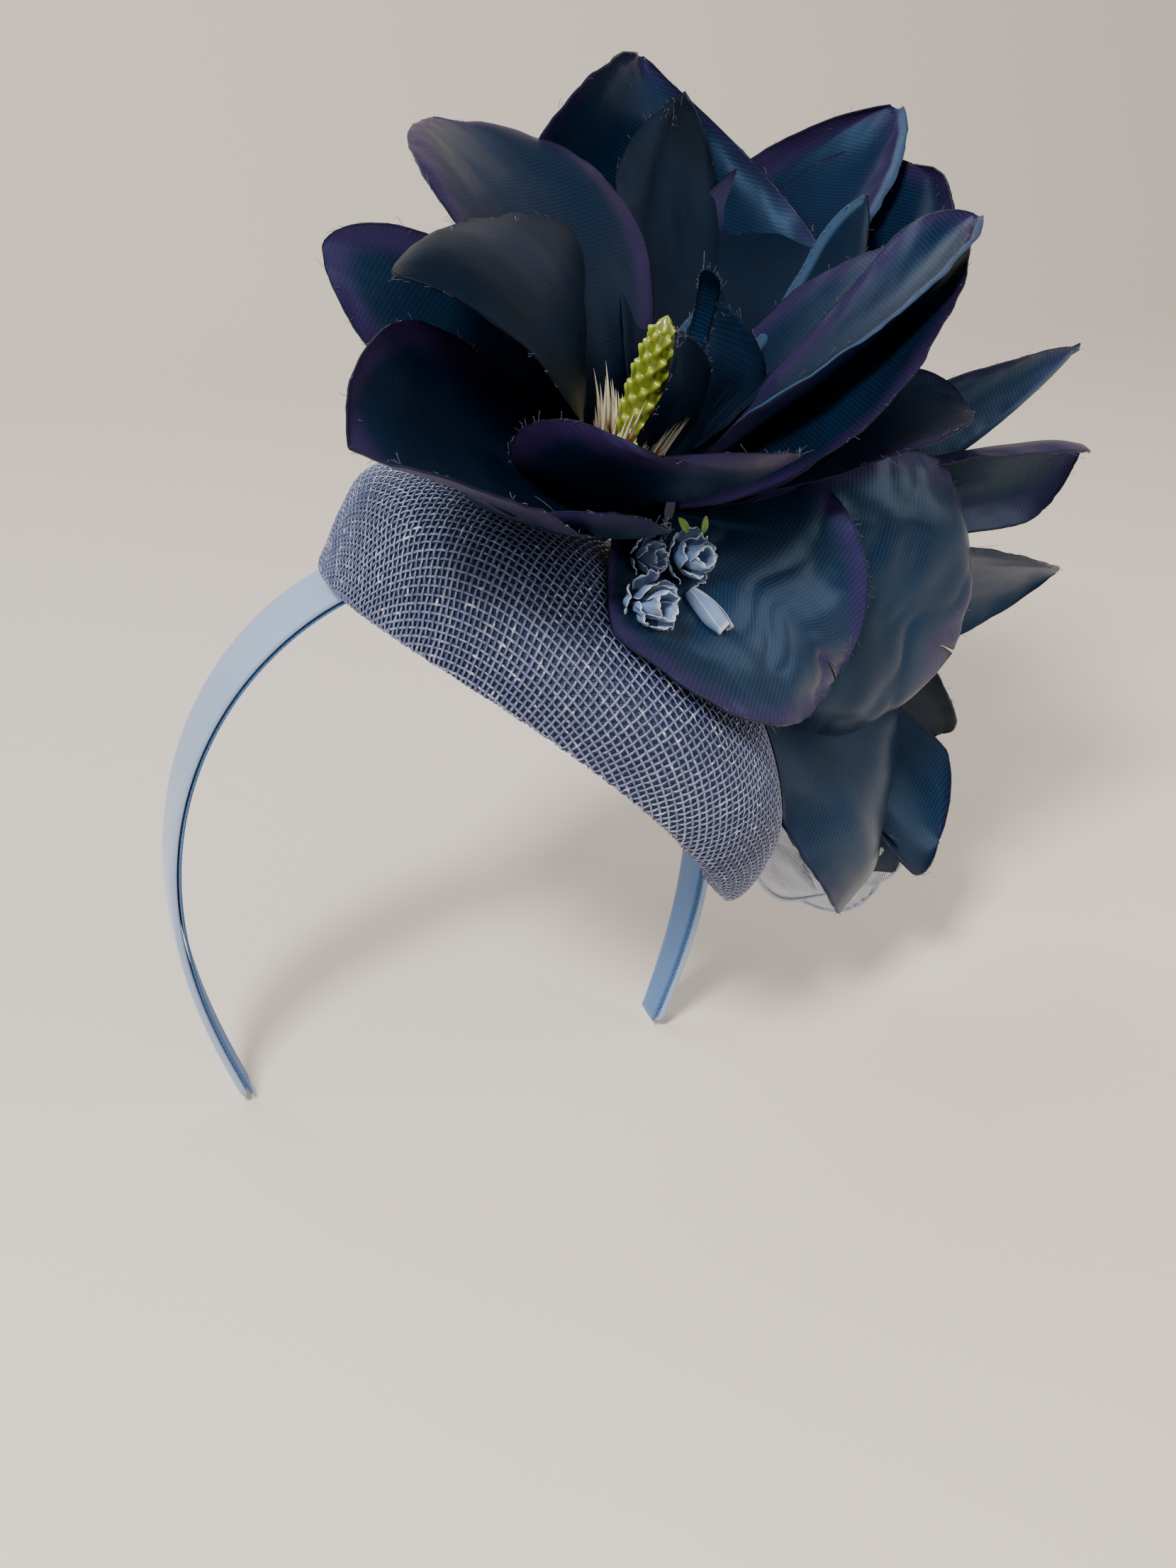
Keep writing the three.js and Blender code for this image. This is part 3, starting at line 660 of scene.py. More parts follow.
# The crown: a dark under layer, and the woven strands over it
def crown_shell():
    """The under layer as a closed wall, turned in at the rim."""
    shell = grid("crown_under_layer", 97, 61)
    x, y = read(shell)[:, 0], read(shell)[:, 1]
    write(shell, crown_point((y + 1) / 2 * 0.985, (x + 1) * math.pi, 0.5))
    modify(shell, "WELD", merge_threshold=SEAM * MM)
    modify(shell, "SOLIDIFY", thickness=UNDER_LAYER_THICK * MM, offset=-1, use_even_offset=False)
    stamp(shell, "tone", 0.5)
    return seat(shell, UNDER_LAYER, "straw", "crown")


def flat_to_crown():
    """A lookup from flat cloth to the crown: arc length down each meridian."""
    turns = np.linspace(0, 2 * math.pi, 145)
    steps = np.linspace(1, 0.0, 121)
    points = crown_point(steps[None, :], turns[:, None], CROWN_SKIN)
    arc = np.concatenate([
        np.zeros((len(turns), 1)), np.cumsum(np.linalg.norm(np.diff(points, axis=1), axis=2), 1),
    ], 1)
    return turns, steps, arc


def cloth_on_crown(p, q):
    """Where the flat point (p, q) of the straw cloth lands, its normal, and whether it does."""
    turns, steps, arc = CLOTH_MAP
    turn = np.mod(np.arctan2(q, p), 2 * math.pi)
    reach = np.hypot(p, q)
    x = turn / (2 * math.pi) * (len(turns) - 1)
    i = np.minimum(x.astype(int), len(turns) - 2)
    ts = []
    for k in (i, i + 1):
        ts.append(np.array([np.interp(r, arc[row], steps) for r, row in zip(reach, k)]))
    t = ts[0] + (ts[1] - ts[0]) * (x - i)
    on = reach < np.minimum(arc[i, -1], arc[i + 1, -1])
    here = crown_point(t, turn, CROWN_SKIN)
    step = 0.004
    lower = crown_point(np.clip(t - step, 0, 1), turn, CROWN_SKIN)
    higher = crown_point(np.clip(t + step, 0, 1), turn, CROWN_SKIN)
    round_ = crown_point(t, turn + step, CROWN_SKIN) - crown_point(t, turn - step, CROWN_SKIN)
    return here, unit(np.cross(lower - higher, round_)), on


def straw_strands(name, lengthwise):
    """One set of parallel strands, each passing over and under the other set."""
    paths, normals, widths = [], [], []
    count = int(STRAND_REACH / STRAND_PITCH)
    s = np.arange(-STRAND_REACH, STRAND_REACH, STRAND_PITCH / 2)
    c, n = math.cos(GRAIN), math.sin(GRAIN)
    for k in range(-count, count + 1):
        wobble = 0.12 * ripple(s / 16, k * 0.7, 3 if lengthwise else 4)
        off = k * STRAND_PITCH + wobble
        a, b = (s, off) if lengthwise else (off, s)
        here, out, on = cloth_on_crown(a * c - b * n, a * n + b * c)
        over = np.cos(math.pi * s / STRAND_PITCH) * (-1) ** k * (1 if lengthwise else -1)
        here = here + out * (STRAND_WEAVE * over + STRAND_RISE)[:, None]
        edges = np.flatnonzero(np.diff(np.concatenate([[0], on.astype(int), [0]])))
        for first, last in zip(edges[::2], edges[1::2]):
            if last - first > 3:
                paths.append(here[first:last])
                normals.append(out[first:last])
                widths.append(STRAND_WIDTH * rng.uniform(0.86, 1.08))
    piece = threads(name, paths, widths, STRAND_THICK, normals)
    return seat(piece, STRAW, "straw")


CLOTH_MAP = flat_to_crown()
crown_shell()
straw_strands("crown_weft", True)
straw_strands("crown_warp", False)


# The headband
def band_route(s):
    """The band's middle line: across, up and tilt for s from -1 to 1."""
    steps = 240
    k = (np.arange(steps) + 0.5) / steps
    heading = BAND["sweep"] * (1 - (1 - k) ** BAND["ease"])
    x = np.concatenate([[0], np.cumsum(np.cos(heading))]) * BAND["length"] / steps
    z = -np.concatenate([[0], np.cumsum(np.sin(heading))]) * BAND["length"] / steps
    at = np.abs(s) * steps
    index = np.arange(steps + 1)
    tilt = BAND["sweep"] * (1 - (1 - np.abs(s)) ** BAND["ease"])
    sign = np.where(s < 0, -1, 1)
    return sign * np.interp(at, index, x), np.interp(at, index, z), sign * tilt


def band_point(s, w, out, inset=0.0):
    x, z, tilt = band_route(s)
    taper = np.clip((np.abs(s) - 0.25) / 0.75, 0, 1) ** 1.2
    half = BAND["wide"] + (BAND["narrow"] - BAND["wide"]) * taper - inset
    return np.stack([x + np.sin(tilt) * out, w * half, z + np.cos(tilt) * out], -1)


def band_cover():
    """The satin cover: a padded strap, rounded at its edges and ends."""
    cover = grid("headband_satin", 49, 361)
    x, y = read(cover)[:, 0], read(cover)[:, 1]
    turn = x * math.pi
    w = np.sign(np.sin(turn)) * np.abs(np.sin(turn)) ** 0.45
    rise = -np.sign(np.cos(turn)) * np.abs(np.cos(turn)) ** 0.45
    end = np.clip((1 - np.abs(y)) / 0.012, 0, 1) ** 0.5
    crown = 0.25 * (1 - w * w) * (rise > 0)
    out = LINING_THICK + GAP + COVER_THICK / 2 + rise * end * COVER_THICK / 2 * 0.96 + crown - 0.2
    write(cover, band_point(y * 0.998, w * (0.55 + 0.45 * end) * 0.992, out))
    lay_cloth(cover, w * 1.26, y * BAND["length"] / 10)
    modify(cover, "WELD", merge_threshold=SEAM * MM)
    return seat(cover, SATIN, "satin", "headband")


def close_ends(piece):
    """Caps the open ends of a tube."""
    alone()
    piece.select_set(True)
    bpy.context.view_layer.objects.active = piece
    bpy.ops.object.mode_set(mode="EDIT")
    bpy.ops.mesh.select_all(action="DESELECT")
    bpy.ops.mesh.select_non_manifold()
    bpy.ops.mesh.edge_face_add()
    bpy.ops.mesh.select_all(action="SELECT")
    bpy.ops.mesh.normals_make_consistent(inside=False)
    bpy.ops.object.mode_set(mode="OBJECT")


def band_lining():
    lining = grid("headband_ribbon", 9, 241)
    x, y = read(lining)[:, 0], read(lining)[:, 1]
    write(lining, band_point(y * 0.995, x, LINING_THICK / 2, LINING_INSET))
    lay_cloth(lining, x * 1.1, y * BAND["length"] / 10)
    thicken(lining, LINING_THICK * 0.8, 0)
    return seat(lining, RIBBON, "ribbon", "headband_lining")


def picot_edge():
    """The little loops along both edges of the lining."""
    paths, normals = [], []
    count = int(2 * BAND["length"] / PICOT_PITCH)
    turn = np.linspace(-0.2, math.pi + 0.2, 7)
    for edge in (-1, 1):
        for k in range(2, count - 2):
            middle = -1 + 2 * (k + 0.5) / count
            s = middle + np.cos(turn) * 0.45 * PICOT_PITCH / BAND["length"]
            path = band_point(s, edge * np.ones(7), LINING_THICK * 0.75, LINING_INSET)
            path[:, 1] += edge * np.sin(turn) * PICOT_REACH
            paths.append(path)
            tilt = band_route(s)[2]
            normals.append(np.stack([np.sin(tilt), 0 * tilt, np.cos(tilt)], -1))
    piece = threads("lining_picots", paths, PICOT_WIDTH, PICOT_THICK, normals)
    return seat(piece, RIBBON, "ribbon")


close_ends(band_cover())
band_lining()
picot_edge()


# Petals
def petal_surface(row, u, w):
    """The petal's surface from base to tip (u) and from edge to edge (w), in mm."""
    seat_of = SEATS[row["flower"]]
    spin = row["spin"] * DEG
    outward = seat_of.side * math.cos(spin) + seat_of.top * math.sin(spin)
    tangent = np.cross(seat_of.axis, outward)
    l0, l1, l2 = (a * DEG for a in row["lean"])

    def lean(t):
        return l0 * (1 - t) * (1 - 2 * t) + 4 * l1 * t * (1 - t) + l2 * t * (2 * t - 1)

    steps = 80
    a = lean((np.arange(steps) + 0.5) / steps)
    up = row["rise"] + np.concatenate([[0], np.cumsum(np.cos(a))]) * row["length"] / steps
    out = row["start"] + np.concatenate([[0], np.cumsum(np.sin(a))]) * row["length"] / steps
    t = u * (1 - row["notch"] * np.exp(-((w / 0.22) ** 2)))
    swell = 0.16 + 0.84 * np.sin(math.pi / 2 * np.clip(u / row["peak"], 0, 1))
    fade = np.clip((u - row["peak"]) / (1 - row["peak"]), 0, 1)
    spread = np.where(u < row["peak"], swell, np.maximum(1 - fade * fade, 0) ** row["blunt"])
    half = np.maximum(row["width"] / 2 * spread, 1.2)
    cup = (row["cup"] or 0.1) * DEG * np.sin(math.pi / 2 * np.clip(u / 0.35, 0.3, 1))
    across = half * np.sin(w * cup) / cup
    edge = np.clip((np.abs(w) - 0.5) / 0.5, 0, 1)
    depth = half * (1 - np.cos(w * cup)) / cup - row["curl"] * half * edge**2 * u
    angle = lean(t)
    inward = seat_of.axis * np.sin(angle)[:, None] - outward * np.cos(angle)[:, None]
    roll = (row["roll"] + row["twist"] * u) * DEG
    c, s = np.cos(roll), np.sin(roll)
    index = np.arange(steps + 1) / steps
    return (
        seat_of.origin
        + seat_of.axis * np.interp(t, index, up)[:, None]
        + outward * np.interp(t, index, out)[:, None]
        + tangent * (row["sway"] * t * t + across * c - depth * s)[:, None]
        + inward * (across * s + depth * c)[:, None]
    ), half


def petal_normal(row, u, w):
    """The petal's outward direction at u and w, from its neighbours."""
    step = 0.004
    further = petal_surface(row, np.clip(u + step, 0, 1), w)[0]
    nearer = petal_surface(row, np.clip(u - step, 0, 1), w)[0]
    dw = petal_surface(row, u, w + step)[0] - petal_surface(row, u, w - step)[0]
    return unit(np.cross(dw, further - nearer))


def margin(half, w):
    """Distance in mm from the petal's side edges."""
    return half * (1 - np.abs(w))


def sheet_tree(points, columns):
    """A search tree over a grid of points in mm, given row by row."""
    rows = len(points) // columns
    first = (np.arange(rows - 1)[:, None] * columns + np.arange(columns - 1)).ravel()
    quads = np.stack([first, first + 1, first + columns + 1, first + columns], 1)
    return BVHTree.FromPolygons([tuple(p) for p in points], quads.tolist())


def keep_off(points, sheet, origin, clear, deep):
    """Moves points that lie on the origin's side of a sheet, or too near it, to its far side."""
    moved = points.copy()
    for k, point in enumerate(points):
        place, normal, _, _ = sheet.find_nearest(Vector(point), deep + clear)
        if place is None:
            continue
        if normal.dot(place - origin) < 0:
            normal = -normal
        away = Vector(point) - place
        height = away.dot(normal)
        if -deep < height < clear and abs(height) > 0.75 * away.length - 0.4:
            moved[k] += np.array(normal) * (clear - height)
    return moved


def crown_sheet(rows=61, columns=121):
    """A search tree over the crown's outside."""
    t, turn = np.meshgrid(np.linspace(0, 1, rows), np.linspace(0, 2 * math.pi, columns), indexing="ij")
    return sheet_tree(crown_point(t.ravel(), turn.ravel(), CROWN_SKIN), columns)


CROWN_MIDDLE = Vector((12.0, 0.0, -45.0))
CAMERA_SIDE = Vector((-139.0, -428.0, 219.0))
CROWN_SHEET = crown_sheet()


def off_crown(points, clear=CROWN_CLEAR):
    return keep_off(points, CROWN_SHEET, CROWN_MIDDLE, clear, CROWN_DEEPEST)


# The petals whose edge rolls over, with a painted highlight along the roll: which side, and how wide in mm
ROLLED = {
    "petal_top_inner": (-1, 3.4),
    "petal_right": (-1, 3.6),
    "petal_right_slim": (1, 3.0),
    "petal_upper_right": (-1, 2.6),
    "petal_bud_front": (1, 2.0),
    "leaf_right_top": (-1, 1.8),
}


def bent_petal(row, seed):
    """A petal with its wrinkles, its waved edge and its maps, before it gets thickness."""
    piece = grid(row["name"] + "_cloth", 47, 69)
    x, y = read(piece)[:, 0], read(piece)[:, 1]
    w = np.sin(x * math.pi / 2) * 0.55 + x * 0.45
    u = (y + 1) / 2
    u = u * 0.6 + (1 - (1 - u) ** 1.6) * 0.4
    points, half = petal_surface(row, u, w)
    normal = petal_normal(row, u, w)
    flat_x, flat_y = w * half, u * row["length"]
    side = margin(half, w)
    tip = (1 - u) * row["length"]
    rim = 1 - np.clip(np.minimum(side, tip * 1.2) / 2.4, 0, 1)
    near = 1 - np.clip(np.minimum(side, tip) / 13, 0, 1)
    roll_side, roll_width = ROLLED.get(row["name"], (0, 1.0))
    rolled_highlit = np.clip(1 - side / roll_width, 0, 1) * (w * roll_side > 0) * smooth((u - 0.2) * 4)
    wave = ripple(flat_x / 3.4, flat_y / 4.2, seed) * 0.55 * near**2
    crease = ripple(flat_x / 9, flat_y / 26, seed + 40) * 0.75 * smooth(u * 1.6)
    pleat = np.sin(w * 9 + seed) * 0.5 * (1 - smooth(u * 1.5))
    fine = ripple(flat_x / 2.2, flat_y / 6.0, seed + 80) * 0.14
    if row["name"].startswith("leaf_heart"):
        ridge = 1 - np.abs(ripple(flat_x / 11, flat_y / 8, seed + 60))
        fine = fine + 1.1 * np.clip(ridge, 0, 1) ** 2 * smooth(u * 2)
    free = smooth(u * 4)[:, None]
    points = points + normal * (wave + crease + pleat + fine + rolled_highlit**2 * 1.6)[:, None] * free
    ragged = 0.35 * ripple(flat_x / 0.9, flat_y / 0.9, seed + 120, 2) * (rim > 0.8)
    centre = petal_surface(row, u * 0.96, w * 0.9)[0]
    points = points + unit(points - centre + 1e-9) * ragged[:, None]
    if row["flower"] != "upper":
        points = off_crown(points)
    if row["name"] == "leaf_down_small":
        for sheet in ORGANZA_SHEETS:
            points = keep_off(points, sheet, -CAMERA_SIDE, TIP_CLEAR, TIP_DEEPEST)
    write(piece, points)
    lay_cloth(piece, flat_x / 10, flat_y / 10)
    stamp(piece, "rim", rim * (1 - smooth(rolled_highlit * 2)))
    # A painted highlight is laid where the edge rolls over
    stamp(piece, "rolled_highlit", smooth(rolled_highlit * 2.2))
    # Tone is painted darker towards the petal's base, as shade deep in the flower, with random patches over
    # it
    patch = ripple(flat_x / 15, flat_y / 20, seed + 160) * 0.22
    deep = smooth(u * 1.5)
    stamp(piece, "tone", np.clip(row["tone"] * (0.35 + 0.65 * deep) + patch * deep, 0, 1))
    stamp(piece, "violet", np.clip(row["violet"] * near * 1.2, 0, 1))
    return piece


def petal(row, seed):
    piece = bent_petal(row, seed)
    thicken(piece, SILK_THICK, 0)
    finish, slot = (SILK_UPPER, "silk_navy") if row["flower"] == "upper" else (SILK_LOWER, "silk_plum")
    return seat(piece, finish, slot, row["name"])


def frayed_edge(row, seed, count):
    """Loose threads of silk along the rim of one petal."""
    local = np.random.default_rng(seed)
    paths = []
    for _ in range(count):
        at_tip = local.uniform() < 0.4
        u = local.uniform(0.9, 0.995) if at_tip else local.uniform(0.4, 0.98)
        w = local.choice([-1, 1]) * (local.uniform(0.2, 1) if at_tip else 1.0)
        u, w = np.array([min(u, 0.995)]), np.array([w])
        start = petal_surface(row, u, w)[0][0]
        inner = petal_surface(row, u * 0.94, w * 0.9)[0][0]
        away = unit(start - inner) + local.normal(0, 0.5, 3)
        length = local.uniform(0.8, 2.6) * (2.0 if local.uniform() < 0.08 else 1.0)
        bend = local.normal(0, 0.35, 3)
        k = np.linspace(0, 1, 4)[:, None]
        paths.append(start - unit(away) * 0.3 + unit(away) * k * length + bend * k * k * length * 0.5)
    return paths


ORGANZA_ROWS = ("organza_loop_front", "organza_loop_back")
PETAL_ROWS = [dict(zip(PETAL_COLUMNS, row)) for row in PETALS]
ROW_OF = {row["name"]: row for row in PETAL_ROWS}


def row_sheet(row, rows=37, columns=25):
    """A search tree over one row's plain surface."""
    w, u = np.meshgrid(np.linspace(-1, 1, columns), np.linspace(0, 1, rows))
    return sheet_tree(petal_surface(row, u.ravel(), w.ravel())[0], columns)


LEAF_SHEETS = [row_sheet(ROW_OF[name]) for name in ("leaf_down_front", "leaf_down_right")]
ORGANZA_SHEETS = [row_sheet(ROW_OF[name]) for name in ORGANZA_ROWS]
upper_threads, lower_threads = [], []
for number, row in enumerate(PETAL_ROWS):
    if row["name"] in ORGANZA_ROWS:
        continue
    petal(row, 11 + number)
    loose = upper_threads if row["flower"] == "upper" else lower_threads
    loose.extend(frayed_edge(row, 500 + number, FRAY_COUNT))
seat(threads("upper_fray", upper_threads, FRAY_WIDTH, FRAY_THICK), THREAD, "silk_navy")
seat(threads("lower_fray", lower_threads, FRAY_WIDTH, FRAY_THICK), THREAD, "silk_plum")


# The organza loops
ORGANZA_DEPTH = {"organza_loop_front": 1.2, "organza_loop_back": 3.0}


def behind_leaves(points, name):
    """Keeps organza points behind the leaves that hang over them, and off the crown."""
    for sheet in LEAF_SHEETS:
        points = keep_off(points, sheet, CAMERA_SIDE, ORGANZA_DEPTH[name], LEAF_DEEPEST)
    return off_crown(points)


def organza_loop(row, seed):
    piece = grid(row["name"] + "_cloth", 33, 41)
    x, y = read(piece)[:, 0], read(piece)[:, 1]
    u = (y + 1) / 2
    points, half = petal_surface(row, u, x)
    normal = petal_normal(row, u, x)
    crease = 0.5 * np.sin(x * 16 + 2.5 * np.sin(u * 4 + seed)) * smooth(u * 3)
    write(piece, behind_leaves(points + normal * crease[:, None], row["name"]))
    lay_cloth(piece, x * half / 10, u * row["length"] / 10)
    side = margin(half, x)
    stamp(piece, "rim", 1 - np.clip(np.minimum(side, (1 - u) * row["length"]) / 3.0, 0, 1))
    thicken(piece, ORGANZA_THICK)
    seat(piece, ORGANZA, "organza", row["name"])
    row["width"] * MM
    row["length"] * MM
    0.8 * row["width"] * row["length"] * MM * MM
    return piece


def organza_edge(row):
    """The thick doubled edge that runs round one loop."""
    u = np.concatenate([np.linspace(0.05, 0.985, 60), np.full(21, 0.99), np.linspace(0.985, 0.05, 60)])
    w = np.concatenate([np.full(60, -1.0), np.linspace(-1, 1, 21), np.full(60, 1.0)])
    path = behind_leaves(petal_surface(row, u, w)[0], row["name"])
    smoothed = path.copy()
    for _ in range(3):
        smoothed[1:-1] = (smoothed[:-2] + 2 * smoothed[1:-1] + smoothed[2:]) / 4
    normal = petal_normal(row, np.clip(u, 0.05, 0.95), np.clip(w, -0.97, 0.97))
    return smoothed, normal


for number, name in enumerate(ORGANZA_ROWS):
    organza_loop(ROW_OF[name], number)
edge_paths, edge_normals = zip(*(organza_edge(ROW_OF[name]) for name in ORGANZA_ROWS))
edges = threads("organza_edges", edge_paths, ORGANZA_EDGE_WIDTH, ORGANZA_EDGE_THICK, edge_normals)
seat(edges, ORGANZA_EDGE, "organza")


# The centre of the upper flower
def stalk_frame(seat_of, start, end):
    """Directions round the line from start to end in a flower's own frame."""
    a, b = seat_of.place(*start), seat_of.place(*end)
    length = np.linalg.norm(b - a)
    axis = unit(b - a)
    side = unit(np.array([1.0, 0, 0]) - axis * axis[0])
    return a, axis, side, np.cross(axis, side), length


def ball(name, segments, rings):
    alone()
    bpy.ops.mesh.primitive_uv_sphere_add(segments=segments, ring_count=rings, radius=1)
    piece = bpy.context.object
    piece.name = name
    piece.data.name = name
    return piece


def pistil():
    """A cone of glossy pips, set in spirals."""
    piece = ball("pistil_pips", 96, 110)
    p = read(piece)
    a, axis, side, top, length = stalk_frame(SEATS["upper"], PISTIL_BASE, PISTIL_TIP)
    u = np.arccos(np.clip(-p[:, 2], -1, 1)) / math.pi
    turn = np.arctan2(p[:, 1], p[:, 0])
    radius = PISTIL_RADIUS * np.minimum(1, 1.5 * u + 0.55) * np.maximum(1 - u**4, 0) ** 0.5
    radius *= np.minimum(1, u / 0.02) ** 0.5
    spiral_a = np.cos(6 * turn + u * 46)
    spiral_b = np.cos(5 * turn - u * 50)
    pip = np.clip(spiral_a * 0.5 + spiral_b * 0.5 + 0.25, 0, 1.2) ** 1.3
    bump = 0.95 * pip * smooth(u * 6) * smooth((1 - u) * 8)
    radius = radius - 0.5 + bump * np.minimum(radius / 3, 1)
    radius = np.maximum(radius, 0)
    along = u * length + bump * 0.8 * smooth((1 - u) * 8)
    across, upward = (radius * np.cos(turn))[:, None], (radius * np.sin(turn))[:, None]
    write(piece, a + axis * along[:, None] + side * across + top * upward)
    # The pips' height, kept as tone, paints shade into the hollows between them
    stamp(piece, "tone", np.clip(pip, 0, 1))
    return seat(piece, PISTIL, "pistil", "pistil")


def stamens():
    """Cream spikes crowded round the foot of the pistil."""
    a, axis, side, top, _ = stalk_frame(SEATS["upper"], PISTIL_BASE, PISTIL_TIP)
    local = np.random.default_rng(21)
    pieces = []
    for k in range(STAMEN_COUNT):
        turn = k * GOLDEN_TURN
        ring = 5.6 + 2.6 * local.uniform()
        reach = local.uniform(13, 26) * (0.8 if k % 3 else 1)
        lean = local.uniform(0.04, 0.2)
        spike = ball(f"stamen_{k}", 6, 10)
        p = read(spike)
        h = (p[:, 2] + 1) / 2
        fat = 0.8 * np.sin(math.pi * np.clip(0.12 + h * 0.88, 0, 1)) ** 0.6 * (1 - 0.35 * h)
        out = ring + reach * (lean * h + 0.12 * h * h)
        cx, cy = np.cos(turn + 0.25 * h), np.sin(turn + 0.25 * h)
        base = a + axis * (1.5 + reach * h)[:, None] + side * (out * cx)[:, None] + top * (out * cy)[:, None]
        points = base + side * (fat * p[:, 0] * 0.8)[:, None] + top * (fat * p[:, 1] * 0.8)[:, None]
        write(spike, points)
        stamp(spike, "along", np.clip(h * 1.15 + local.uniform(-0.3, 0.15), 0, 1))
        pieces.append(spike)
    return seat(join("stamen_spikes", pieces), STAMEN, "stamen", "stamens")


pistil()
stamens()
for name in ("calyx_upper", "calyx_lower"):
    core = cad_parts[name]
    core.data.materials.clear()
    core.data.materials.append(THREAD)


# Paper roses
def rose_leaf(name, place, radius, turn, ring, level, seed):
    """One cupped, crinkled petal of a paper rose."""
    piece = grid(name, 15, 11)
    x, y = read(piece)[:, 0], read(piece)[:, 1]
    u = (y + 1) / 2
    spread = 0.75 * np.sin(math.pi * (0.18 + 0.62 * u)) * (1.25 - 0.3 * ring)
    angle = turn + x * spread * (1.0 if ring else 1.6)
    open_ = 0.3 + ring * 0.3
    r = radius * (0.1 + open_ * (0.55 + 0.62 * np.sin(math.pi * 0.62 * u))) + radius * 0.07 * ring * u**4
    z = radius * (-0.75 + (1.5 - 0.2 * ring) * u - 0.14 * ring * u**4 - 0.12 * np.abs(x) ** 3 * u) + level
    crinkle = ripple(x * 7, u * 5, seed, 3) * radius * 0.1 * smooth(u * 2)
    r = r + crinkle
    z = z + ripple(x * 7, u * 2, seed + 9, 2) * radius * 0.07 * u
    write(piece, off_crown(place(r * np.cos(angle), r * np.sin(angle), z), ROSE_CLEAR))
    lay_cloth(piece, x, u)
    stamp(piece, "rim", np.clip(np.maximum(np.abs(x) ** 3, u**3), 0, 1))
    return piece


def rose(name, at, radius, seed):
    middle = np.array(at, float)

    def place(x, y, z):
        return SEATS["lower"].place(middle[0] + x, middle[1] + y, middle[2] + z)

    leaves = []
    count = 0
    for ring, petals in enumerate((3, 4, 5)):
        for k in range(petals):
            turn = 2 * math.pi * k / petals + ring * 0.9 + seed
            level = -0.12 * radius * ring
            leaf_name = f"{name}_{count}"
            leaves.append(rose_leaf(leaf_name, place, radius, turn, ring * 0.9, level, seed * 50 + count))
            count += 1
    piece = join(name + "_paper", leaves)
    thicken(piece, PAPER_THICK)
    return seat(piece, PAPER, "paper", name)


def rose_bud():
    """A closed bud of twisted paper."""
    a, axis, side, top, length = stalk_frame(SEATS["lower"], BUD_FROM, BUD_TO)

    def place(x, y, z):
        x, y, z = (np.asarray(k, float)[..., None] for k in (x, y, z))
        return a + side * x + top * y + axis * z

    leaves = []
    for k in range(5):
        piece = grid(f"rose_bud_{k}", 13, 15)
        x, y = read(piece)[:, 0], read(piece)[:, 1]
        u = (y + 1) / 2
        angle = k * 1.35 + x * 0.95 + u * 0.5
        r = BUD_RADIUS * (0.32 + 0.75 * np.sin(2.3 * u + 0.25)) * (1 + 0.05 * k)
        r = r + ripple(x * 4, u * 3, 70 + k, 3) * 0.22
        z = length * u * (0.88 + 0.03 * k) + ripple(x * 6, u, 90 + k, 2) * 0.5 * u
        write(piece, place(r * np.cos(angle), r * np.sin(angle), z))
        lay_cloth(piece, x, u)
        stamp(piece, "rim", np.clip(np.maximum(np.abs(x) ** 4, u**4), 0, 1))
        leaves.append(piece)
    piece = join("rose_bud_paper", leaves)
    thicken(piece, PAPER_THICK)
    return seat(piece, PAPER, "paper", "rose_bud")


def sprigs():
    """Scraps of green leaf tucked behind the roses."""
    leaves = []
    for k, (x, y, z, turn) in enumerate(((-7.5, 12.6, 8.5, 1.2), (-13.5, 13.2, 8.0, 2.1))):
        leaf = grid(f"sprig_{k}", 9, 11)
        p = read(leaf)
        u = (p[:, 1] + 1) / 2
        half = 1.3 * np.sin(math.pi * np.clip(u, 0.04, 0.97)) ** 0.7
        lx = p[:, 0] * half
        ly = (u - 0.3) * 5
        lz = 0.5 * np.abs(p[:, 0]) * half + ripple(lx, ly / 2, k + 5, 2) * 0.3
        c, s = math.cos(turn - math.pi / 2), math.sin(turn - math.pi / 2)
        write(leaf, SEATS["lower"].place(x + lx * c - ly * s, y + lx * s + ly * c, z + lz))
        leaves.append(leaf)
    piece = join("rose_sprigs", leaves)
    thicken(piece, SPRIG_THICK)
    return seat(piece, SPRIG, "paper")


for row in ROSES:
    rose(row["name"], row["at"], row["radius"], row["seed"])
rose_bud()
sprigs()


# Floor, light and camera
def plain(name, colour, roughness):
    f = Finish(name, roughness=roughness)
    cloud = f.noise(f.place(), 3.0, 2.0)
    low = tuple(0.97 * c for c in colour)
    return f.paint(f.mix(cloud, low, colour), roughness)


def backdrop():
    """A pale floor that sweeps up into a wall."""
    piece = grid("floor", 3, 61)
    x, y = read(piece)[:, 0], read(piece)[:, 1]
    width, length, nearest = 2600, 4200, 1500
    run = (y + 1) / 2 * length - nearest
    bend = 420.0
    start = 900.0
    angle = np.clip((run - start) / bend, 0, math.pi / 2)
    past = np.maximum(run - start - bend * math.pi / 2, 0)
    flat = np.minimum(run, start)
    depth = flat + bend * np.sin(angle)
    rise = bend * (1 - np.cos(angle)) + past
    write(piece, np.stack([x * width, depth, rise + FLOOR], 1))
    piece.data.materials.append(plain("pale_floor", tint("eee3d6"), 0.9))
    smooth_shade(piece)


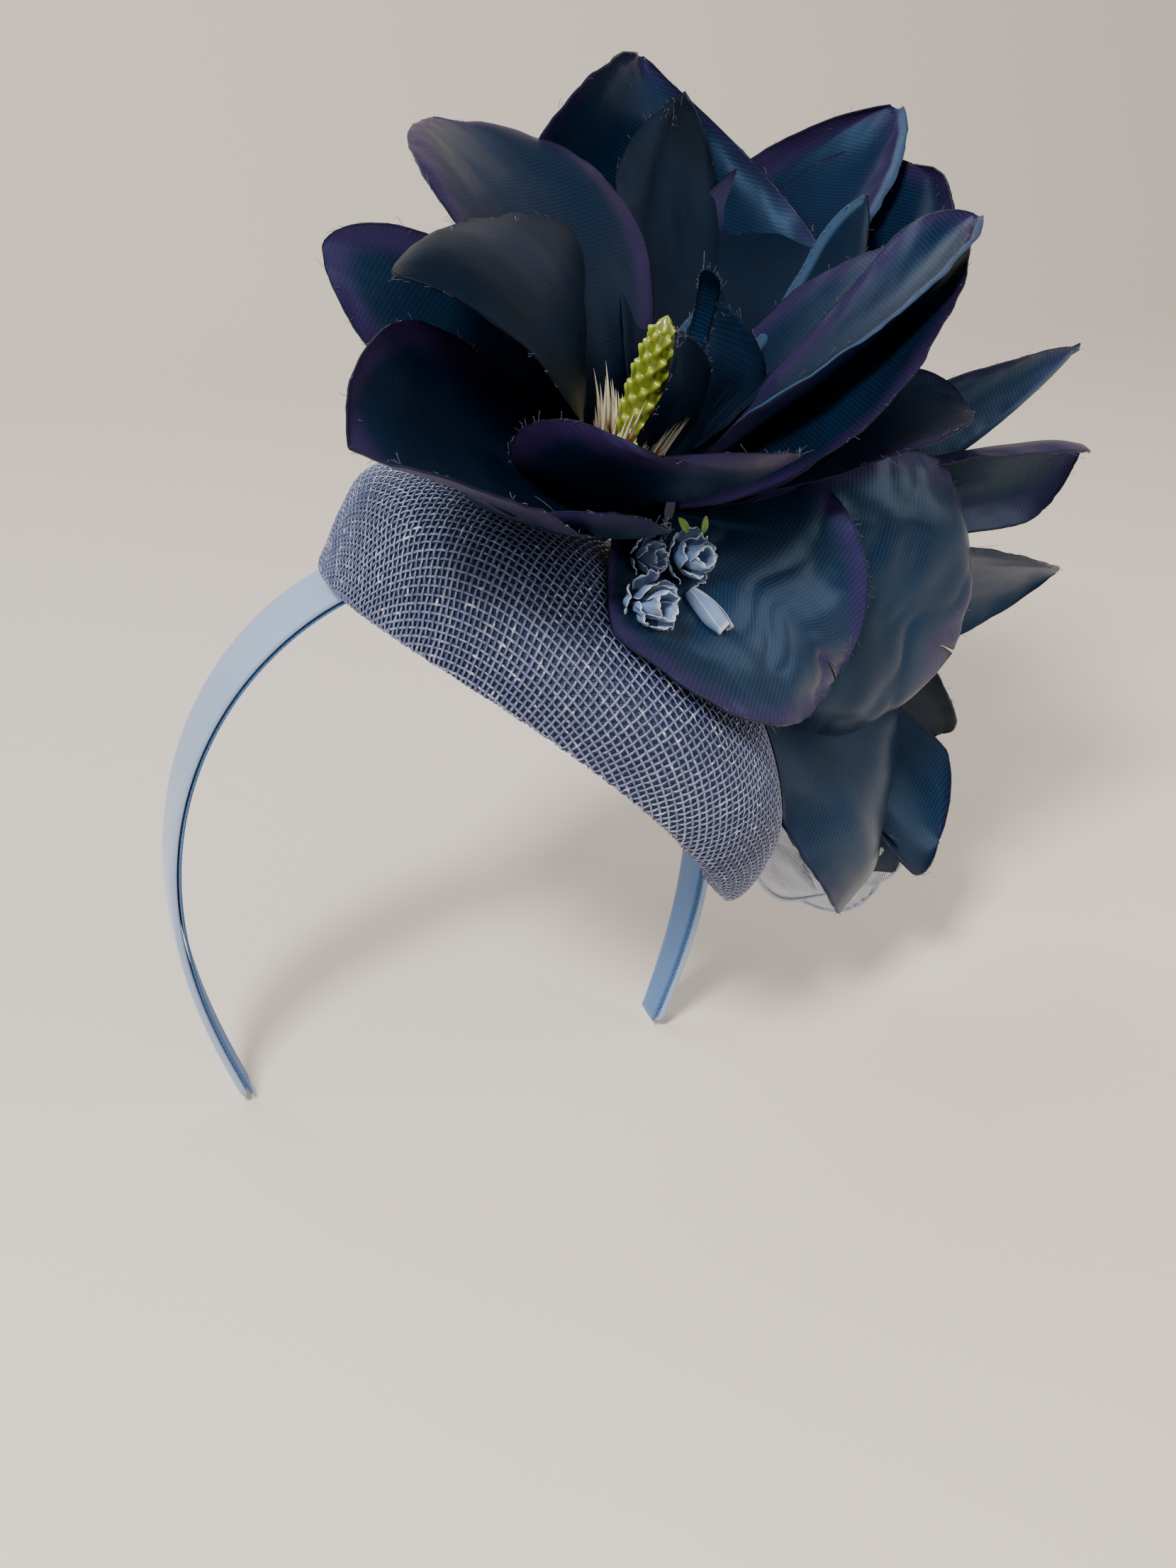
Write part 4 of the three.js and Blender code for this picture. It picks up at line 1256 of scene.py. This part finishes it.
def area_light(name, place, aim, size, power, colour):
    lamp = bpy.data.lights.new(name, "AREA")
    lamp.shape = "RECTANGLE"
    lamp.size, lamp.size_y = size
    lamp.energy = power
    lamp.color = colour
    lamp_object = bpy.data.objects.new(name, lamp)
    lamp_object.location = place
    lamp_object.rotation_euler = (Vector(aim) - Vector(place)).to_track_quat("-Z", "Y").to_euler()
    bpy.context.scene.collection.objects.link(lamp_object)


backdrop()
AIM = (0.03, 0.0, 0.0)
area_light("key", (-0.55, -0.7, 1.0), AIM, (0.3, 0.26), 25, (1.0, 0.96, 0.92))
area_light("side", (0.95, -0.45, 0.45), AIM, (0.6, 0.6), 4.5, (1.0, 0.9, 0.8))
area_light("back", (-0.5, 0.8, 0.9), AIM, (0.7, 0.5), 5, (0.9, 0.95, 1.0))

world = bpy.data.worlds.new("studio")
world.use_nodes = True
world.node_tree.nodes["Background"].inputs[0].default_value = (0.86, 0.85, 0.86, 1)
world.node_tree.nodes["Background"].inputs[1].default_value = 0.5
bpy.context.scene.world = world

# The camera: its focal length and the picture's height are in pixels
AZIMUTH, ELEVATION = -18 * DEG, 26 * DEG
FOCAL, PICTURE_HEIGHT, SENSOR = 2600, 2212, 36
SHIFT_RIGHT, SHIFT_UP, DISTANCE = 41.12, -61.02, 500
level = math.cos(ELEVATION)
back = Vector((math.sin(AZIMUTH) * level, -math.cos(AZIMUTH) * level, math.sin(ELEVATION)))
right = Vector((math.cos(AZIMUTH), math.sin(AZIMUTH), 0))
up = back.cross(right)
camera_data = bpy.data.cameras.new("camera")
camera_data.lens = SENSOR * FOCAL / PICTURE_HEIGHT
camera_data.sensor_width = SENSOR
camera_data.clip_start = 0.01
camera_data.clip_end = 20
camera = bpy.data.objects.new("camera", camera_data)
bpy.context.scene.collection.objects.link(camera)
eye = (SHIFT_RIGHT * right + SHIFT_UP * up + DISTANCE * back) * MM
camera.matrix_world = Matrix.Translation(eye) @ Matrix((
    (right.x, up.x, back.x, 0), (right.y, up.y, back.y, 0), (right.z, up.z, back.z, 0), (0, 0, 0, 1),
))
bpy.context.scene.camera = camera
